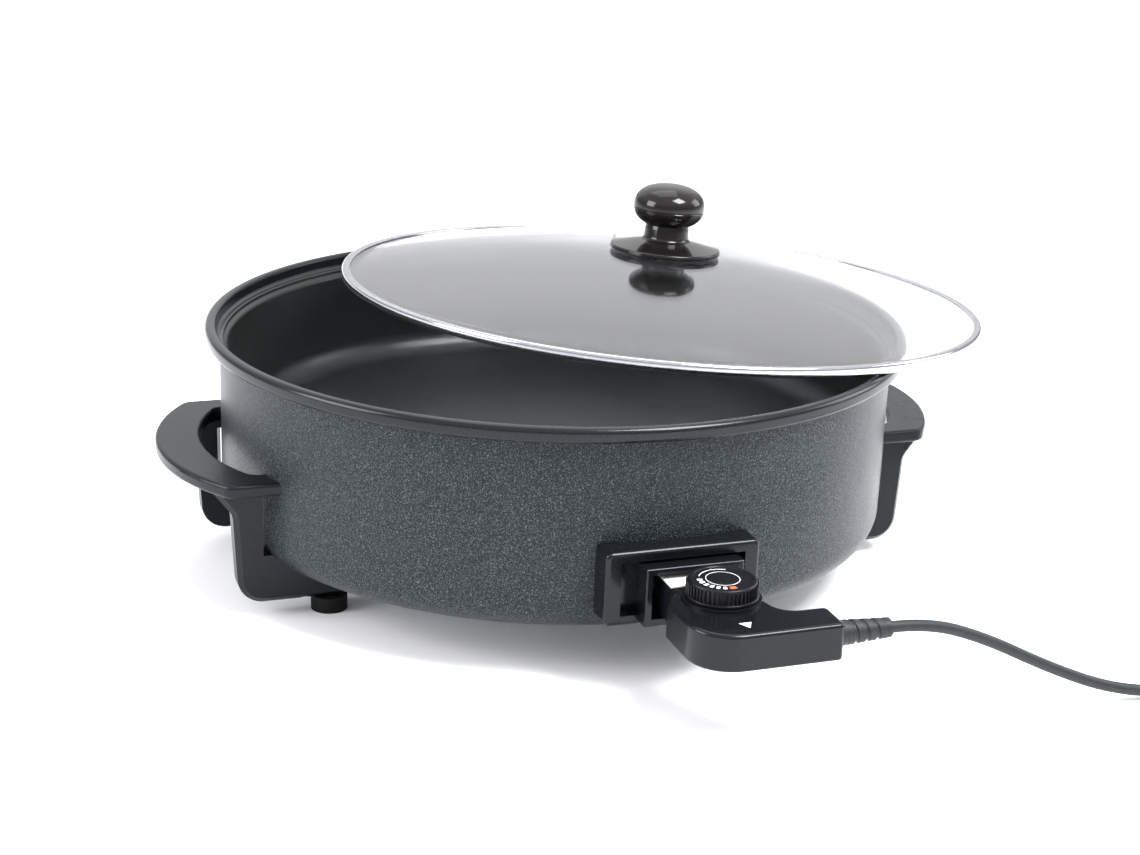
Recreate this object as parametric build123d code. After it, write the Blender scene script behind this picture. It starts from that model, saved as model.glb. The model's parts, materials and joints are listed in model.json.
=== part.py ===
from build123d import *
import math
import os

# Electric griddle: a deep round pan on four feet, with side handles, a glass lid set down
# askew on the rim, and a plug-in thermostat probe on a mains cord.
# Millimetres. +Z is up, Z = 0 is the table, and the pan's axis is the Z axis.
# The handles are on -X and +X, and the probe's socket is on -Y.

# Pan and outer body
LIP_R = 210.5
LIP_TOP_Z = 147.0
LIP_HEIGHT = 8.5
SEAT_R = 203.9
SEAT_Z = 140.0
BODY_R = 202.0
BODY_WALL = 1.5
BODY_BOTTOM_Z = 29.0
BODY_CORNER_R = 16.0
BODY_FLANGE_R = 158.0
PAN_R = 197.0
PAN_WALL = 2.5
FLOOR_Z = 72.0
FLOOR_THICKNESS = 5.0
PAN_CORNER_R = 16.0

# Heating element under the cooking floor
ELEMENT_RING_R = 125.0
ELEMENT_R = 3.5
ELEMENT_Z = FLOOR_Z - FLOOR_THICKNESS - ELEMENT_R
CLIP_ANGLES = (45.0, 135.0, 225.0, 315.0)
POST_RING_R = 95.0
POST_ANGLES = (90.0, 210.0, 330.0)
REFLECTOR_Z = 50.0
REFLECTOR_R = 150.0
REFLECTOR_THICKNESS = 0.8

# Handles and feet
GRIP_TOP_Z = 85.0
GRIP_THICKNESS = 8.0
GRIP_REACH = 242.0
GRIP_HALF_WIDTH = 79.0
LEG_OUTER_X = 209.0
LEG_FRONT_Y = 68.0
LEG_THICKNESS = 13.0
LEG_CORNER_R = 15.0
LEG_GAP = 3.5
BAR_BOTTOM_Z = 9.0
BAR_INNER_X = 146.0
FOOT_X = 155.0
FOOT_Y = 61.5
FOOT_R = 10.5
HANDLE_SCREW_X = 170.0

# Socket for the probe
SOCKET_Z = 58.0
FRAME_HALF_WIDTH = 43.5
FRAME_BOTTOM_Z = 40.0
FRAME_TOP_Z = 81.5
FRAME_FRONT_Y = -214.0
SLEEVE_LEFT_X = -24.0
SLEEVE_RIGHT_X = 31.0
SLEEVE_BOTTOM_Z = 41.5
SLEEVE_TOP_Z = 74.0
SLEEVE_FRONT_Y = -222.0
SLEEVE_BACK_Y = -207.0
OPENING_LEFT_X = -20.5
OPENING_RIGHT_X = 27.5
OPENING_BOTTOM_Z = 45.6
OPENING_TOP_Z = 70.5
PIN_X = 9.0
PIN_R = 2.5
PIN_TIP_Y = -217.0
BUSH_R = 4.5

# Thermostat probe
PROBE_BOTTOM_Z = 47.0
PROBE_SPLIT_Z = 55.0
PROBE_TOP_Z = 67.0
PROBE_FRONT_Y = -296.0
PROBE_LEFT_X = -23.0
PROBE_ARM_X = 54.0
PROBE_SHELL = 2.4
NOSE_HALF_WIDTH = 14.6
NOSE_BACK_Y = -207.6
DIAL_X = 6.0
DIAL_Y = -250.0
DIAL_R = 19.0
DIAL_TOP_Z = 78.0
DIAL_BOTTOM_Z = 68.8
DIAL_RIBS = 48
SPINDLE_R = 3.0
ROD_R = 3.0
ROD_TIP_Y = -145.0

# Lid
LID_X = 84.2
LID_Y = 40.9
LID_Z = 146.0
LID_TILT = 4.1
LID_LEAN_TOWARD = 24.0
BAND_R = 203.0
BAND_HEIGHT = 6.5
BAND_SHEET = 0.6
GLASS_THICKNESS = 4.4
GLASS_RISE = 24.0
KNOB_BASE_R = 35.0
KNOB_NECK_R = 14.0
KNOB_CAP_R = 22.5
KNOB_CAP_HEIGHT = 28.0
VENT_X = -8.0
VENT_Y = 55.0

# Mains cord, its coil and its plug
CORD_R = 3.15
CORD_Y = -285.0
RELIEF_END_X = 84.0
CORD_ROUTE = [
    (84.0, -285.0, 57.0),
    (106.0, -285.0, 57.0),
    (140.0, -285.5, 45.0),
    (180.0, -287.0, 24.0),
    (217.0, -290.0, 8.5),
    (250.0, -293.5, 3.3),
    (278.0, -295.9, 3.3),
    (305.0, -295.9, 3.3),
]
COIL_X = 334.0
COIL_Y = -255.0
COIL_OUTER_TURN_R = 40.9
COIL_INNER_TURN_R = 28.3
COIL_TOP_TURN_Z = 9.6
PLUG_R = 18.5
PLUG_HEIGHT = 24.0
PLUG_START_Y = -230.0


def cylinder_between(start, end, radius):
    """A straight round bar from one point to another."""
    axis = Vector(*end) - Vector(*start)
    plane = Plane(origin=start, z_dir=axis)
    return extrude(plane * Circle(radius), axis.length)


def box_between(low, high):
    """A block between its lowest and its highest corner."""
    size = [b - a for a, b in zip(low, high)]
    return Pos(*low) * Box(*size, align=(Align.MIN, Align.MIN, Align.MIN))


def disc(radius, low_z, high_z, x=0.0, y=0.0):
    """An upright cylinder."""
    return Pos(x, y, low_z) * extrude(Circle(radius), high_z - low_z)


def ring(outer, inner, low_z, high_z, x=0.0, y=0.0):
    """An upright tube."""
    return Pos(x, y, low_z) * extrude(Circle(outer) - Circle(inner), high_z - low_z)


def turned(points, radii):
    """A solid of revolution about Z. The outline's points are (radius, height)."""
    outline = FilletPolyline(*[(x, 0, z) for x, z in points], radius=radii, close=True)
    return revolve(make_face(outline), Axis.Z)


def polar(radius, degrees):
    """X and Y of a point at a radius and an angle from +X."""
    angle = math.radians(degrees)
    return radius * math.cos(angle), radius * math.sin(angle)


def smoothed(shape, axis, index, radius):
    """Rounds the edges of the first or last face along an axis."""
    return fillet(shape.faces().sort_by(axis)[index].edges(), radius)


def cooking_pan():
    """Pressed aluminium pan with a rolled lip and a seat for the lid."""
    outside_r = PAN_R + PAN_WALL
    underside = LIP_TOP_Z - LIP_HEIGHT
    points = [
        (0, FLOOR_Z - FLOOR_THICKNESS),
        (outside_r, FLOOR_Z - FLOOR_THICKNESS),
        (outside_r, underside),
        (LIP_R, underside),
        (LIP_R, LIP_TOP_Z),
        (SEAT_R, LIP_TOP_Z),
        (SEAT_R, SEAT_Z),
        (PAN_R, SEAT_Z - 6.0),
        (PAN_R, FLOOR_Z),
        (0, FLOOR_Z),
    ]
    radii = [0, PAN_CORNER_R + PAN_WALL, 1.0, 2.5, 3.2, 2.4, 1.5, 3.0, PAN_CORNER_R, 0]
    return turned(points, radii)


def body_envelope():
    """The space inside the outer body's outer face, for trimming what sits against it."""
    points = [(0, BODY_BOTTOM_Z), (BODY_R, BODY_BOTTOM_Z), (BODY_R, 138.0), (0, 138.0)]
    return turned(points, [0, BODY_CORNER_R, 0, 0])


def outer_body():
    """Coated sheet skirt under the lip, turned in to a flange at the bottom."""
    inner_r = BODY_R - BODY_WALL
    top = LIP_TOP_Z - LIP_HEIGHT - 0.3
    points = [
        (BODY_FLANGE_R, BODY_BOTTOM_Z),
        (BODY_R, BODY_BOTTOM_Z),
        (BODY_R, top),
        (inner_r, top),
        (inner_r, BODY_BOTTOM_Z + BODY_WALL),
        (BODY_FLANGE_R, BODY_BOTTOM_Z + BODY_WALL),
    ]
    shell = turned(points, [0, BODY_CORNER_R, 0, 0, BODY_CORNER_R - BODY_WALL, 0])
    window = box_between((-18, -BODY_R - 2, 46), (18, -150, 70))
    shell -= window
    for x, y in handle_screw_places():
        shell -= disc(2.2, BODY_BOTTOM_Z - 1, BODY_BOTTOM_Z + 3, x, y)
    for x, y in cover_screw_places():
        shell -= disc(1.6, BODY_BOTTOM_Z - 1, BODY_BOTTOM_Z + 3, x, y)
    for x, z in frame_screw_places():
        shell -= cylinder_between((x, -BODY_R - 3, z), (x, -170, z), 1.7)
    return shell


def handle_screw_places():
    """X and Y of the four screws that hold the handles to the body's flange."""
    y = LEG_FRONT_Y - LEG_THICKNESS / 2
    return [(sx * HANDLE_SCREW_X, sy * y) for sx in (-1, 1) for sy in (-1, 1)]


def frame_screw_places():
    """X and Z of the two screws that hold the socket's frame."""
    return [(-39.5, SOCKET_Z), (39.5, SOCKET_Z)]


def bottom_cover():
    """Steel plate that closes the body, with cooling slots."""
    low = BODY_BOTTOM_Z + BODY_WALL
    cover = disc(BODY_FLANGE_R + 6, low, low + 1.0)
    for step in range(12):
        slot = Pos(95, 0, low) * extrude(SlotOverall(40, 5), 2)
        cover -= Rot(0, 0, 30 * step) * Pos(0, 0, -0.5) * slot
    for x, y in cover_screw_places():
        cover -= disc(1.6, low - 1, low + 3, x, y)
    return cover


def cover_screw_places():
    """X and Y of the screws that hold the bottom cover's edge to the flange."""
    return [polar(BODY_FLANGE_R + 3, angle) for angle in (0.0, 90.0, 180.0, 270.0)]


def cover_screws():
    """Four self-tapping screws up through the flange into the cover."""
    low = BODY_BOTTOM_Z
    screws = []
    for x, y in cover_screw_places():
        screws.append(disc(3.0, low - 1.6, low, x, y) + disc(1.5, low, low + 7, x, y))
    return Compound(screws)


def heat_reflector():
    """Thin bright dish that throws the element's heat up at the floor."""
    points = [
        (12, REFLECTOR_Z),
        (REFLECTOR_R - 8, REFLECTOR_Z),
        (REFLECTOR_R, REFLECTOR_Z + 5),
        (REFLECTOR_R, REFLECTOR_Z + 5 + REFLECTOR_THICKNESS),
        (REFLECTOR_R - 8.3, REFLECTOR_Z + REFLECTOR_THICKNESS),
        (12, REFLECTOR_Z + REFLECTOR_THICKNESS),
    ]
    dish = turned(points, [0, 0, 0, 0, 0, 0])
    dish -= box_between((-18, -REFLECTOR_R - 5, REFLECTOR_Z - 2), (18, -138, REFLECTOR_Z + 12))
    for angle in POST_ANGLES:
        x, y = polar(POST_RING_R, angle)
        dish -= disc(2.1, REFLECTOR_Z - 1, REFLECTOR_Z + 2, x, y)
    return dish


def reflector_posts():
    """Three spacers between the reflector and the pan, each with its screw head below."""
    top = FLOOR_Z - FLOOR_THICKNESS
    posts = []
    for angle in POST_ANGLES:
        x, y = polar(POST_RING_R, angle)
        post = disc(4.0, REFLECTOR_Z + REFLECTOR_THICKNESS, top, x, y)
        post += disc(2.0, REFLECTOR_Z - 1, top, x, y)
        posts.append(post + disc(3.8, REFLECTOR_Z - 2.8, REFLECTOR_Z, x, y))
    return Compound(posts)


def heating_element():
    """Sheathed tube bent to a ring, with its two cold ends led out to the socket."""
    gap = 12.0
    section = Plane.XZ * Pos(ELEMENT_RING_R, ELEMENT_Z) * Circle(ELEMENT_R)
    start = -90 + gap
    element = revolve(Rot(0, 0, start) * section, Axis.Z, 360 - 2 * gap)
    for side in (-1, 1):
        x, y = polar(ELEMENT_RING_R, -90 + side * gap)
        tangent_y = y - (abs(x) - PIN_X) * math.tan(math.radians(gap))
        path = FilletPolyline(
            (x, y, ELEMENT_Z),
            (side * PIN_X, tangent_y, ELEMENT_Z),
            (side * PIN_X, -155, ELEMENT_Z),
            (side * PIN_X, -178, SOCKET_Z),
            (side * PIN_X, -193, SOCKET_Z),
            radius=[9, 14, 14],
        )
        profile = Plane(origin=path @ 0, z_dir=path % 0) * Circle(ELEMENT_R)
        element += sweep(profile, path)
    return element


def element_clips():
    """Four straps that hold the ring up against the floor."""
    top = FLOOR_Z - FLOOR_THICKNESS
    tube_bottom = ELEMENT_Z - ELEMENT_R
    clips = []
    for angle in CLIP_ANGLES:
        outside = box_between((-5, -6, tube_bottom - 1), (5, 6, top))
        flange = box_between((-11, -6, top - 1), (11, 6, top))
        space = box_between((-4, -7, tube_bottom), (4, 7, top + 1))
        clip = outside + flange - space
        clips += (Rot(0, 0, angle) * Pos(ELEMENT_RING_R, 0, 0) * clip).solids()
    return Compound(clips)


def sensor_sleeve():
    """Tube on a saddle under the floor, where the probe's sensing rod reads the heat."""
    top = FLOOR_Z - FLOOR_THICKNESS
    tube = cylinder_between((0, -200, SOCKET_Z), (0, -132, SOCKET_Z), 4.4)
    saddle = box_between((-3.5, -165, SOCKET_Z), (3.5, -134, top))
    pad = box_between((-5.0, -165, top - 2), (5.0, -134, top))
    bore = cylinder_between((0, -201, SOCKET_Z), (0, -136, SOCKET_Z), ROD_R + 0.1)
    return tube + saddle + pad - bore


def terminal_pins():
    """The two plug-in pins on the element's cold ends."""
    pins = []
    for side in (-1, 1):
        pin = cylinder_between((side * PIN_X, -193, SOCKET_Z), (side * PIN_X, PIN_TIP_Y, SOCKET_Z), PIN_R)
        pins.append(chamfer(pin.faces().sort_by(Axis.Y)[0].edges(), 1.0))
    return Compound(pins)


def terminal_bushes():
    """Ceramic bushes that insulate the pins where they pass the socket's wall."""
    bushes = []
    for side in (-1, 1):
        start = (side * PIN_X, -193.5, SOCKET_Z)
        end = (side * PIN_X, SLEEVE_BACK_Y + 1.0, SOCKET_Z)
        bushes.append(cylinder_between(start, end, BUSH_R) - cylinder_between(start, end, PIN_R))
    return Compound(bushes)


def socket_frame():
    """Outer surround of the socket, shaped to the body's curve."""
    low = (-FRAME_HALF_WIDTH, FRAME_FRONT_Y, FRAME_BOTTOM_Z)
    frame = box_between(low, (FRAME_HALF_WIDTH, -180, FRAME_TOP_Z))
    frame = fillet(frame.edges().filter_by(Axis.Y), 3.5)
    frame = smoothed(frame, Axis.Y, 0, 2.4)
    recess_low = (-FRAME_HALF_WIDTH + 8.5, FRAME_FRONT_Y - 1, FRAME_BOTTOM_Z + 5.5)
    frame -= box_between(recess_low, (FRAME_HALF_WIDTH - 8.5, -206, FRAME_TOP_Z - 6))
    sleeve_low = (SLEEVE_LEFT_X, FRAME_FRONT_Y - 1, SLEEVE_BOTTOM_Z)
    frame -= box_between(sleeve_low, (SLEEVE_RIGHT_X, -170, SLEEVE_TOP_Z))
    for x, z in frame_screw_places():
        frame -= cylinder_between((x, -208, z), (x, -180, z), 1.7)
    return frame - body_envelope()


def socket_sleeve():
    """Inner surround that the probe's nose slides into."""
    low = (SLEEVE_LEFT_X, SLEEVE_FRONT_Y, SLEEVE_BOTTOM_Z)
    sleeve = box_between(low, (SLEEVE_RIGHT_X, -180, SLEEVE_TOP_Z))
    sleeve = smoothed(sleeve, Axis.Y, 0, 1.0)
    opening_low = (OPENING_LEFT_X, SLEEVE_FRONT_Y - 1, OPENING_BOTTOM_Z)
    sleeve -= box_between(opening_low, (OPENING_RIGHT_X, SLEEVE_BACK_Y, OPENING_TOP_Z))
    for side in (-1, 1):
        start = (side * PIN_X, -180, SOCKET_Z)
        sleeve -= cylinder_between(start, (side * PIN_X, -210, SOCKET_Z), BUSH_R)
    sleeve -= cylinder_between((0, -180, SOCKET_Z), (0, -210, SOCKET_Z), ROD_R + 0.6)
    return sleeve - body_envelope()


def socket_screws():
    """Two screws from inside the body into the surround's side bars."""
    screws = []
    for x, z in frame_screw_places():
        head = cylinder_between((x, -194.0, z), (x, -192.0, z), 3.0)
        screws.append(head + cylinder_between((x, -194.0, z), (x, -207.5, z), 1.6))
    return Compound(screws)


def earth_blade():
    """Spring strip in the socket's floor that earths the probe."""
    low = (-3.0, SLEEVE_FRONT_Y + 2, OPENING_BOTTOM_Z)
    return box_between(low, (3.0, SLEEVE_BACK_Y, OPENING_BOTTOM_Z + 0.6))


def grip_outline(reach, half_width, end_x, corner):
    """Flat outline of one crescent grip, on the +X side, closed through the pan's axis."""
    arc = ThreePointArc((end_x, half_width), (reach, 0), (end_x, -half_width))
    back = Polyline((end_x, -half_width), (150, -half_width), (150, half_width), (end_x, half_width))
    face = make_face(Wire([arc, *back.edges()]))
    ends = [v for v in face.vertices() if v.X > end_x - 1]
    return fillet(ends, corner)


def handle(side):
    """One moulded handle: grip, two legs and the two bars that carry the feet."""
    low_z = GRIP_TOP_Z - GRIP_THICKNESS
    outer = grip_outline(GRIP_REACH, GRIP_HALF_WIDTH, 214.0, 9.0)
    hole = grip_outline(216.0, 61.0, 198.0, 6.0)
    grip = Pos(0, 0, low_z) * extrude(outer - hole, GRIP_THICKNESS)
    rounded = [e for e in grip.edges() if abs(e.center().Z - low_z - GRIP_THICKNESS / 2) > 1]
    rounded = [e for e in rounded if e.center().X > 175]
    grip = fillet(rounded, 2.4)
    shape = grip
    for end in (-1, 1):
        outline = FilletPolyline(
            (150, low_z + 1),
            (LEG_OUTER_X + 13, low_z + 1),
            (LEG_OUTER_X + 1.5, low_z - 14),
            (LEG_OUTER_X - 1.5, BAR_BOTTOM_Z),
            (BAR_INNER_X, BAR_BOTTOM_Z),
            (BAR_INNER_X, BODY_BOTTOM_Z + 5),
            (150, BODY_BOTTOM_Z + 5),
            radius=[0, 0, 9, LEG_CORNER_R, 3, 0, 0],
            close=True,
        )
        near = -LEG_FRONT_Y if end < 0 else LEG_FRONT_Y - LEG_THICKNESS
        plane = Plane(origin=(0, near, 0), x_dir=(1, 0, 0), z_dir=(0, -1, 0))
        leg = extrude(plane * make_face(outline), -LEG_THICKNESS)
        outer_face = leg.faces().sort_by(Axis.Y)[0 if end < 0 else -1]
        outside = [e for e in outer_face.edges() if e.center().X > LEG_OUTER_X - 20]
        outside = [e for e in outside if e.center().Z < low_z]
        shape += chamfer(outside, 3.0)
    shape -= body_envelope()
    shape -= disc(BODY_R + LEG_GAP, BODY_BOTTOM_Z + 9, low_z - 3)
    for sx, y in handle_screw_places():
        if sx > 0:
            shape -= disc(2.2, 0, BODY_BOTTOM_Z + 1, sx, y)
            shape -= disc(4.2, 0, 20.0, sx, y)
    for y in (-FOOT_Y, FOOT_Y):
        shape -= disc(2.0, 0, 22.0, FOOT_X, y)
    if side < 0:
        shape = mirror(shape, Plane.YZ)
    return shape


def handle_screws():
    """Four screws up through the bars into the body's flange."""
    screws = []
    for x, y in handle_screw_places():
        screws.append(disc(4.0, 17.0, 20.0, x, y) + disc(2.0, 20.0, 35.5, x, y))
    return Compound(screws)


def handle_nuts():
    """Hexagon nuts on the handle screws, above the flange."""
    low = BODY_BOTTOM_Z + BODY_WALL
    nuts = []
    for x, y in handle_screw_places():
        nut = Pos(x, y, low) * extrude(RegularPolygon(4.0, 6), 3.2)
        nuts.append(nut - disc(2.0, low - 1, low + 5, x, y))
    return Compound(nuts)


def foot(x, y):
    """Rubber foot moulded round the head of its screw, with a solid sole."""
    pad = disc(FOOT_R, 0, BAR_BOTTOM_Z, x, y)
    pad -= disc(4.0, 6.0, 7.8, x, y)
    return pad - disc(1.95, 7.8, BAR_BOTTOM_Z, x, y)


def foot_screws():
    """The screws moulded into the feet, which turn into the bars."""
    screws = []
    for x in (-FOOT_X, FOOT_X):
        for y in (-FOOT_Y, FOOT_Y):
            screws.append(disc(4.0, 6.0, 7.8, x, y) + disc(1.95, 7.8, 20.0, x, y))
    return Compound(screws)


def on_lid(shape):
    """Places a piece made about the lid's own axis where the lid lies."""
    lean_x, lean_y = polar(math.sin(math.radians(LID_TILT)), LID_LEAN_TOWARD)
    up = (lean_x, lean_y, math.cos(math.radians(LID_TILT)))
    plane = Plane(origin=(LID_X, LID_Y, LID_Z), x_dir=(up[2], 0, -up[0]), z_dir=up)
    return plane.location * shape


def dome_height(radius, base):
    """Height of a dome's surface that starts at a height at the glass's flat edge."""
    edge = BAND_R - 6.0
    sphere_r = (edge**2 + GLASS_RISE**2) / (2 * GLASS_RISE)
    return base + GLASS_RISE - sphere_r + math.sqrt(sphere_r**2 - radius**2)


def lid_glass():
    """Domed tempered glass, flat at its edge, with holes for the knob and the vent."""
    edge_r = BAND_R - BAND_SHEET
    flat_r = BAND_R - 6.0
    low = BAND_SHEET
    high = low + GLASS_THICKNESS
    middle = flat_r / 2
    upper = ThreePointArc(
        (flat_r, 0, high), (middle, 0, dome_height(middle, high)), (0, 0, dome_height(0, high))
    )
    lower = ThreePointArc(
        (0, 0, dome_height(0, low)), (middle, 0, dome_height(middle, low)), (flat_r, 0, low)
    )
    axis_line = Line((0, 0, dome_height(0, high)), (0, 0, dome_height(0, low)))
    edge = Polyline((flat_r, 0, low), (edge_r, 0, low), (edge_r, 0, high), (flat_r, 0, high))
    glass = revolve(make_face(Wire([upper, axis_line, lower, *edge.edges()])), Axis.Z)
    glass -= disc(3.5, 0, 60)
    glass -= disc(3.6, 0, 60, VENT_X, VENT_Y)
    return on_lid(glass)


def lid_band():
    """Stainless band folded over the glass's edge."""
    lip_r = BAND_R - 5.0
    inner = BAND_R - BAND_SHEET
    glass_top = BAND_SHEET + GLASS_THICKNESS
    points = [
        (lip_r, 0),
        (BAND_R, 0),
        (BAND_R, BAND_HEIGHT - 0.6),
        (BAND_R - 1.0, BAND_HEIGHT),
        (lip_r, glass_top + BAND_SHEET),
        (lip_r, glass_top),
        (inner, glass_top),
        (inner, BAND_SHEET),
        (lip_r, BAND_SHEET),
    ]
    return on_lid(turned(points, [0] * len(points)))


def lid_vent():
    """Steel eyelet around the steam hole."""
    radius = math.hypot(VENT_X, VENT_Y)
    low = dome_height(radius, BAND_SHEET)
    high = dome_height(radius, BAND_SHEET + GLASS_THICKNESS)
    eyelet = disc(3.5, low - 1.6, high + 1.6, VENT_X, VENT_Y)
    eyelet += disc(6.0, high + 0.5, high + 1.6, VENT_X, VENT_Y)
    eyelet += disc(6.0, low - 1.6, low - 0.6, VENT_X, VENT_Y)
    return on_lid(eyelet - disc(2.6, 0, 60, VENT_X, VENT_Y))


def lid_top():
    """Height of the glass's upper face at the knob."""
    return dome_height(0, BAND_SHEET + GLASS_THICKNESS)


def knob_base():
    """Wide disc that rises to a neck under the knob."""
    low = lid_top() + 0.6
    points = [
        (2.7, low),
        (KNOB_BASE_R, low),
        (KNOB_BASE_R, low + 2.8),
        (KNOB_NECK_R, low + 7.2),
        (KNOB_NECK_R, low + 14.5),
        (2.7, low + 14.5),
    ]
    return on_lid(turned(points, [0, 0.8, 1.0, 1.5, 0, 0]))


def knob_cap():
    """Flattened ball that is gripped, with a blind hole for the screw."""
    low = lid_top() + 15.1
    half = KNOB_CAP_HEIGHT / 2
    points = [
        (0, low),
        (KNOB_CAP_R * 0.72, low),
        (KNOB_CAP_R, low + half * 0.62),
        (KNOB_CAP_R, low + half * 1.25),
        (KNOB_CAP_R * 0.78, low + KNOB_CAP_HEIGHT),
        (0, low + KNOB_CAP_HEIGHT),
    ]
    cap = turned(points, [0, 6.0, 5.0, 6.0, 9.0, 0])
    return on_lid(cap - disc(2.0, low - 1, low + 12))


def knob_screw():
    """Screw from under the glass up into the knob."""
    under = dome_height(0, BAND_SHEET) - 2.0
    screw = disc(5.0, under - 2.6, under) + disc(1.95, under, lid_top() + 15.1 + 11)
    return on_lid(screw)


def knob_washers():
    """Soft washer under the base and the steel one under the glass."""
    under = dome_height(0, BAND_SHEET)
    upper = ring(12.0, 2.7, lid_top() - 0.0, lid_top() + 0.6)
    lower = ring(8.0, 2.2, under - 2.0, under - 0.1)
    return on_lid(Compound([upper, lower]))


def probe_outline(inset, mouth_y=-232.0):
    """Top view of the probe's case, with its arm to the cord and its open mouth."""
    left = PROBE_LEFT_X + inset
    front = PROBE_FRONT_Y + inset
    arm = PROBE_ARM_X - inset
    back = -273.0 - inset
    neck = NOSE_HALF_WIDTH + 0.6 - inset
    line = FilletPolyline(
        (-neck, mouth_y),
        (-neck, -238),
        (left, -247),
        (left, front),
        (arm, front),
        (arm, back),
        (30 - inset, back),
        (24 - inset, -250),
        (neck, -238),
        (neck, mouth_y),
        radius=[0, 3, 6, 23, 3, 3, 12, 8, 3, 0],
        close=True,
    )
    return make_face(line)


def probe_cavity():
    """The space inside the probe's case."""
    low = PROBE_BOTTOM_Z + PROBE_SHELL
    return Pos(0, 0, low) * extrude(probe_outline(PROBE_SHELL, -230.0), PROBE_TOP_Z - PROBE_SHELL - low)


def housing_screw_places():
    """X and Y of the screws that join the probe's two shells."""
    return [(-15.5, -281.0), (40.0, -278.5), (19.0, -278.5)]


def probe_upper():
    """Upper shell of the probe, with the hole for the dial's spindle."""
    height = PROBE_TOP_Z - PROBE_SPLIT_Z
    shell = Pos(0, 0, PROBE_SPLIT_Z) * extrude(probe_outline(0), height)
    shell = smoothed(shell, Axis.Z, -1, 2.2)
    shell -= probe_cavity()
    for x, y in housing_screw_places():
        shell += disc(2.9, PROBE_SPLIT_Z, PROBE_TOP_Z - 1, x, y) & (
            Pos(0, 0, PROBE_SPLIT_Z) * extrude(probe_outline(1.0), height - 1)
        )
        shell -= disc(1.2, PROBE_SPLIT_Z, PROBE_TOP_Z - 3, x, y)
    shell -= disc(SPINDLE_R + 0.08, PROBE_SPLIT_Z, DIAL_TOP_Z, DIAL_X, DIAL_Y)
    shell -= cord_hole()
    return shell - pointer_blank()


def probe_lower():
    """Lower shell of the probe."""
    height = PROBE_SPLIT_Z - PROBE_BOTTOM_Z
    shell = Pos(0, 0, PROBE_BOTTOM_Z) * extrude(probe_outline(0), height)
    shell = smoothed(shell, Axis.Z, 0, 1.4)
    shell -= probe_cavity()
    for x, y in housing_screw_places():
        shell += disc(2.9, PROBE_BOTTOM_Z + 1, PROBE_SPLIT_Z, x, y) & (
            Pos(0, 0, PROBE_BOTTOM_Z + 1) * extrude(probe_outline(1.0), height - 1)
        )
        shell -= disc(1.5, PROBE_BOTTOM_Z - 1, PROBE_SPLIT_Z, x, y)
        shell -= disc(2.6, PROBE_BOTTOM_Z - 1, PROBE_BOTTOM_Z + 2.4, x, y)
    return shell - cord_hole()


def cord_hole():
    """Round way through the arm's end for the strain relief's root."""
    start = (PROBE_ARM_X - 6, CORD_Y, 57.0)
    return cylinder_between(start, (PROBE_ARM_X + 5, CORD_Y, 57.0), 4.5)


def pointer_blank():
    """Small triangle let into the top in front of the dial."""
    outline = Polyline((1.5, -281.5), (8.5, -281.5), (5.0, -288.0), close=True)
    return Pos(0, 0, PROBE_TOP_Z - 0.8) * extrude(make_face(outline), 0.8)


def housing_screws():
    """Screws up through the lower shell."""
    screws = []
    for x, y in housing_screw_places():
        head = disc(2.4, PROBE_BOTTOM_Z + 0.6, PROBE_BOTTOM_Z + 2.4, x, y)
        screws.append(head + disc(1.15, PROBE_BOTTOM_Z + 2.4, PROBE_TOP_Z - 5, x, y))
    return Compound(screws)


def probe_nose():
    """Heat-proof block that carries the contacts and the sensing rod."""
    low = (-NOSE_HALF_WIDTH, -236.0, PROBE_BOTTOM_Z + 0.2)
    nose = box_between(low, (NOSE_HALF_WIDTH, NOSE_BACK_Y, PROBE_TOP_Z - 0.2))
    nose = smoothed(nose, Axis.Y, -1, 1.0)
    inside = NOSE_HALF_WIDTH + 0.6 - PROBE_SHELL
    rear_low = (-NOSE_HALF_WIDTH - 1, -237, PROBE_BOTTOM_Z - 1)
    rear = box_between(rear_low, (NOSE_HALF_WIDTH + 1, -232, PROBE_TOP_Z + 1))
    tenon_low = (-inside + 0.1, -237, PROBE_BOTTOM_Z + PROBE_SHELL)
    tenon_high = (inside - 0.1, -232, PROBE_TOP_Z - PROBE_SHELL)
    nose -= rear - box_between(tenon_low, tenon_high)
    for side in (-1, 1):
        nose -= cylinder_between((side * PIN_X, -237, SOCKET_Z), (side * PIN_X, -205, SOCKET_Z), 3.6)
    return nose - cylinder_between((0, -237, SOCKET_Z), (0, -205, SOCKET_Z), ROD_R)


def nose_shield():
    """Bright steel plate on top of the nose that keeps heat off the dial."""
    low = (-NOSE_HALF_WIDTH + 0.4, -231.6, PROBE_TOP_Z - 0.2)
    return box_between(low, (NOSE_HALF_WIDTH - 0.4, NOSE_BACK_Y - 1.0, PROBE_TOP_Z + 0.5))


def probe_contacts():
    """Two sprung tubes that grip the socket's pins."""
    contacts = []
    for side in (-1, 1):
        start = (side * PIN_X, NOSE_BACK_Y - 0.6, SOCKET_Z)
        end = (side * PIN_X, -240, SOCKET_Z)
        tube = cylinder_between(start, end, 3.6)
        contacts.append(tube - cylinder_between(start, (side * PIN_X, -232, SOCKET_Z), PIN_R + 0.06))
    return Compound(contacts)


def sensor_rod():
    """Closed tube that carries the sensing element into the pan's sleeve."""
    rod = cylinder_between((0, -244, SOCKET_Z), (0, ROD_TIP_Y, SOCKET_Z), ROD_R)
    return smoothed(rod, Axis.Y, -1, 1.5)


def thermostat_block():
    """Ceramic stack that holds the switch blades and the spindle's thread."""
    low = (DIAL_X - 7, DIAL_Y - 6, PROBE_BOTTOM_Z + PROBE_SHELL)
    block = box_between(low, (DIAL_X + 11, DIAL_Y + 5, 56.0))
    return block - disc(SPINDLE_R + 0.08, 52.0, 60.0, DIAL_X, DIAL_Y)


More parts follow.
